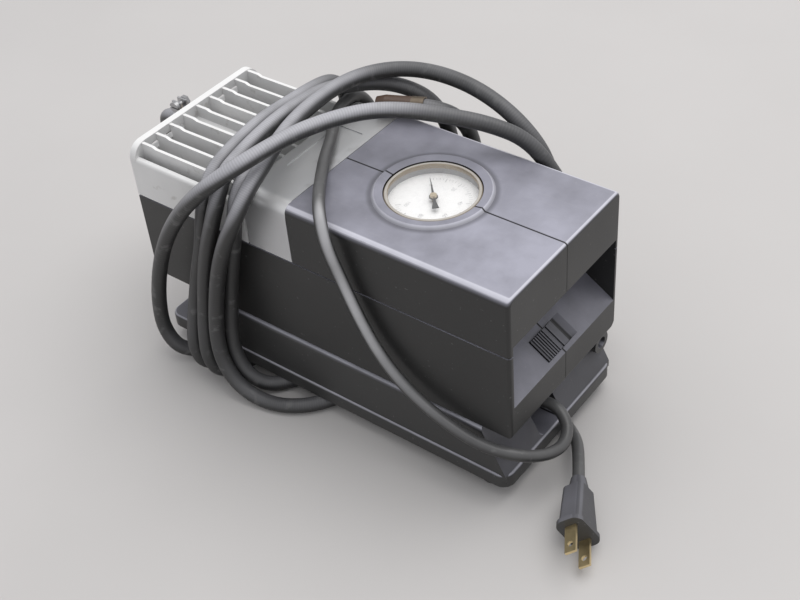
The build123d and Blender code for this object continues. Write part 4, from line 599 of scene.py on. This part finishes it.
SLOT_MATERIALS = {
    "black_housing": lambda name: black_plastic(name, chosen("housing"), seam=SEAM_HALF),
    "black_trim": lambda name: black_plastic(name, chosen("trim"), dust=0.20, roughness=0.34),
    "plug_plastic": lambda name: black_plastic(name, chosen("plug"), dust=0.13, roughness=0.48, grain=0.4),
    "chuck_plastic": lambda name: painted(name, (0.085, 0.050, 0.035, 1), 0.35),
    "foot_rubber": rubber,
    "hose_rubber": ribbed_hose,
    "cord_jacket": cord_jacket,
    "silver_paint": silver_paint,
    "cast_alloy": cast_alloy,
    "screw_steel": lambda name: metal(name, (0.42, 0.42, 0.43, 1), 0.34),
    "motor_steel": lambda name: metal(name, (0.50, 0.50, 0.51, 1), 0.30),
    "engine_alloy": lambda name: metal(name, (0.55, 0.56, 0.57, 1), 0.42, 0.35),
    "stack_steel": lambda name: metal(name, (0.20, 0.20, 0.21, 1), 0.45, 0.4),
    "case_steel": lambda name: painted(name, (0.36, 0.36, 0.37, 1), 0.40),
    "dial_white": lambda name: painted(name, chosen("dial"), 0.40),
    "gauge_brass": lambda name: metal(name, (0.60, 0.52, 0.40, 1), 0.40),
    "blade_brass": lambda name: metal(name, chosen("blades"), 0.30),
    "copper": lambda name: metal(name, (0.72, 0.42, 0.25, 1), 0.30),
    "pointer_dark": lambda name: painted(name, (0.035, 0.035, 0.040, 1), 0.45),
    "seal_plastic": lambda name: painted(name, (0.16, 0.13, 0.10, 1), 0.35),
    "gasket_paper": lambda name: painted(name, (0.35, 0.25, 0.15, 1), 0.80),
    "fan_plastic": lambda name: painted(name, (0.72, 0.72, 0.68, 1), 0.45),
    "lens_clear": clear_lens,
}

# Pieces whose look differs from the rest of their slot.
NODE_MATERIALS = {
    "gauge_bezel": gauge_rim,
    "chuck_ferrule": lambda name: metal(name, (0.20, 0.165, 0.13, 1), 0.45),
    "head_studs": lambda name: metal(name, (0.07, 0.065, 0.06, 1), 0.50),
}


def slot_material(slot):
    """The material of one of the record's slots, made the first time it is asked for."""
    name = f"look_{slot}"
    return bpy.data.materials.get(name) or SLOT_MATERIALS[slot](name)


# ---- making pieces --------------------------------------------------------------------------
def add_piece(name, data, slot, body, look=None):
    """Put a mesh or curve in the scene, with its material and the body it rides on."""
    piece = bpy.data.objects.new(name, data)
    bpy.context.scene.collection.objects.link(piece)
    data.materials.append(look or slot_material(slot))
    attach(piece, body)
    return piece


def cord_curve(name, points, diameter, sides):
    """Smooth tube: a quadratic NURBS line with the route's points as its control points."""
    curve = bpy.data.curves.new(name, "CURVE")
    curve.dimensions = "3D"
    spline = curve.splines.new("NURBS")
    spline.points.add(len(points) - 1)
    homogeneous = np.column_stack([np.array(points), np.ones(len(points))])
    spline.points.foreach_set("co", homogeneous.ravel())
    spline.order_u = 3
    spline.use_endpoint_u = True
    spline.resolution_u = STEPS_BETWEEN_POINTS
    curve.bevel_depth = diameter / 2
    curve.bevel_resolution = sides
    curve.use_fill_caps = True
    return curve


def grid_mesh(name, corners, faces):
    """Mesh from an array of corners and an array of faces."""
    mesh = bpy.data.meshes.new(name)
    mesh.from_pydata(corners.tolist(), [], faces.tolist())
    mesh.update()
    return mesh


def dial_marks(settings, top):
    """Scale marks: flat bars on a circle, at even steps of the sweep, every fifth one longer.

    A bar's corners are its two ends, which lie on one ray from the pivot, plus and minus
    half its width at right angles to that ray.
    """
    steps = np.arange(SCALE_STEPS + 1)
    angle = np.radians(DIAL_START - DIAL_SWEEP * steps / SCALE_STEPS)
    outward = np.stack([np.cos(angle), np.sin(angle)], axis=1)
    sideways = np.stack([-np.sin(angle), np.cos(angle)], axis=1)
    long_mark = (steps % STEPS_TO_LONG_MARK == 0)[:, None]
    length = np.where(long_mark, LONG_MARK[0], SHORT_MARK[0])
    width = np.where(long_mark, LONG_MARK[1], SHORT_MARK[1])
    outer = outward * settings.mark_radius
    inner = outward * (settings.mark_radius - length)
    half = sideways * width / 2
    ring = np.stack([inner - half, outer - half, outer + half, inner + half], axis=1)
    flat = ring.reshape(-1, 2) + np.array(GAUGE_PIVOT[:2])
    corners = np.column_stack([flat, np.full(len(flat), top)])
    faces = np.arange(len(flat)).reshape(-1, 4)
    return grid_mesh("dial_marks", corners, faces)


def dial_numbers(settings, top):
    """Numbers from 0 to 100 inside the long marks, joined in one flat mesh."""
    corners = []
    faces = []
    for gap in range(NUMBER_GAPS + 1):
        font = bpy.data.curves.new("dial_number", "FONT")
        font.body = str(NUMBER_STEP * gap)
        font.size = settings.number_height
        font.align_x = "CENTER"
        font.align_y = "CENTER"
        shape = bpy.data.objects.new("dial_number", font)
        flat = bpy.data.meshes.new_from_object(shape)
        angle = radians(DIAL_START - DIAL_SWEEP * gap / NUMBER_GAPS)
        middle = Vector(GAUGE_PIVOT) + Vector((cos(angle), sin(angle), 0)) * settings.number_radius
        middle.z = top
        flat.transform(Matrix.Translation(middle) @ Matrix.Rotation(radians(NUMBER_TURN), 4, "Z"))
        first = len(corners)
        corners.extend(tuple(vertex.co) for vertex in flat.vertices)
        faces.extend([first + index for index in polygon.vertices] for polygon in flat.polygons)
        bpy.data.objects.remove(shape)
    mesh = bpy.data.meshes.new("dial_numbers")
    mesh.from_pydata(corners, [], faces)
    mesh.update()
    return mesh


# ---- operators ------------------------------------------------------------------------------
class COMPRESSOR_OT_stage(bpy.types.Operator):
    """Set up the camera, the light and the floor"""

    bl_idname = "compressor.stage"
    bl_label = "Stage"

    def execute(self, context):
        settings = context.scene.compressor_stage
        scene = context.scene
        scene.view_settings.view_transform = "Standard"
        turn = radians(CAMERA_TURN)
        tilt = radians(CAMERA_TILT)
        back = Vector((sin(turn) * cos(tilt), -cos(turn) * cos(tilt), sin(tilt)))
        right = Vector((cos(turn), sin(turn), 0))
        axes = Matrix((right, back.cross(right), back)).transposed().to_4x4()
        data = bpy.data.cameras.new("camera")
        data.lens = settings.focal_length
        data.sensor_width = SENSOR_WIDTH
        data.shift_x = CAMERA_SHIFT[0]
        data.shift_y = CAMERA_SHIFT[1]
        camera = bpy.data.objects.new("camera", data)
        roll = Matrix.Rotation(radians(CAMERA_ROLL), 4, "Z")
        camera.matrix_world = Matrix.Translation(CAMERA_PLACE) @ axes @ roll
        scene.collection.objects.link(camera)
        scene.camera = camera

        lamp = bpy.data.lights.new("soft_lamp", "AREA")
        lamp.energy = settings.lamp_power
        lamp.size = settings.lamp_size
        lamp.color = LAMP_COLOUR
        holder = bpy.data.objects.new("soft_lamp", lamp)
        place = Vector(LAMP_PLACE)
        aim = (place - Vector(LAMP_AIM)).to_track_quat("Z", "Y")
        holder.matrix_world = Matrix.Translation(place) @ aim.to_matrix().to_4x4()
        scene.collection.objects.link(holder)

        world = bpy.data.worlds.new("sky")
        world.use_nodes = True
        sky = world.node_tree.nodes["Background"]
        sky.inputs["Color"].default_value = settings.sky_colour
        sky.inputs["Strength"].default_value = settings.sky_strength
        scene.world = world

        corners = FLOOR_HALF * np.array([(-1, -1, 0), (1, -1, 0), (1, 1, 0), (-1, 1, 0)])
        floor = bpy.data.objects.new("floor", grid_mesh("floor", corners, np.array([[0, 1, 2, 3]])))
        scene.collection.objects.link(floor)
        floor.data.materials.append(floor_paint("look_floor", tuple(settings.floor_colour)))
        return {"FINISHED"}


class COMPRESSOR_OT_cords(bpy.types.Operator):
    """Lay the air hose and the power cord"""

    bl_idname = "compressor.cords"
    bl_label = "Hose and cord"

    def execute(self, context):
        settings = context.scene.compressor_cords
        hose_line = cord_curve("hose", HOSE_POINTS, settings.hose_diameter, settings.sides)
        hose = add_piece("hose", hose_line, "hose_rubber", "housing")
        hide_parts("air_hose")
        cord_line = cord_curve("mains_cord", CORD_POINTS, settings.cord_diameter, settings.sides)
        cord = add_piece("mains_cord", cord_line, "cord_jacket", "housing")
        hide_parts("power_cord")
        return {"FINISHED"}


class COMPRESSOR_OT_finishes(bpy.types.Operator):
    """Give every solid of the model its procedural material"""

    bl_idname = "compressor.finishes"
    bl_label = "Finishes"

    def execute(self, context):
        for part in frame["record"]["subparts"]:
            name = part["node"]
            special = NODE_MATERIALS.get(name)
            look = special(f"look_{name}") if special else slot_material(part["material_slot"])
            for slot in frame["nodes"][name].material_slots:
                slot.material = look
        return {"FINISHED"}


class COMPRESSOR_OT_dial(bpy.types.Operator):
    """Print the scale on the dial of the gauge"""

    bl_idname = "compressor.dial"
    bl_label = "Dial printing"

    def execute(self, context):
        settings = context.scene.compressor_dial
        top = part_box("gauge_dial")[1][2] + settings.print_height
        ink = painted("look_dial_ink", DIAL_INK, 0.5)
        add_piece("dial_marks", dial_marks(settings, top), "pointer_dark", "housing", ink)
        add_piece("dial_numbers", dial_numbers(settings, top), "pointer_dark", "housing", ink)
        return {"FINISHED"}


class COMPRESSOR_PT_panel(bpy.types.Panel):
    """Buttons and settings of the compressor"""

    bl_label = "Compressor"
    bl_space_type = "VIEW_3D"
    bl_region_type = "UI"
    bl_category = "Compressor"

    def draw(self, context):
        for name in GROUPS:
            box = self.layout.box()
            settings = getattr(context.scene, f"compressor_{name}")
            for key in settings.__annotations__:
                box.prop(settings, key)
        for step in STEPS:
            self.layout.operator(f"compressor.{step}")


GROUPS = {
    "colours": CompressorColourSettings,
    "cords": CompressorCordSettings,
    "dial": CompressorDialSettings,
    "stage": CompressorStageSettings,
}
STEPS = ("stage", "cords", "finishes", "dial")
CLASSES = (
    *GROUPS.values(),
    COMPRESSOR_OT_stage,
    COMPRESSOR_OT_cords,
    COMPRESSOR_OT_finishes,
    COMPRESSOR_OT_dial,
    COMPRESSOR_PT_panel,
)


def register():
    """Make the classes known and give the scene its settings."""
    for kind in CLASSES:
        bpy.utils.register_class(kind)
    for name, group in GROUPS.items():
        setattr(bpy.types.Scene, f"compressor_{name}", PointerProperty(type=group))


def unregister():
    """Take the settings and the classes away again."""
    for name in GROUPS:
        delattr(bpy.types.Scene, f"compressor_{name}")
    for kind in reversed(CLASSES):
        bpy.utils.unregister_class(kind)


def main():
    """Build everything."""
    register()
    for step in STEPS:
        getattr(bpy.ops.compressor, step)()


if __name__ == "__main__":
    main()
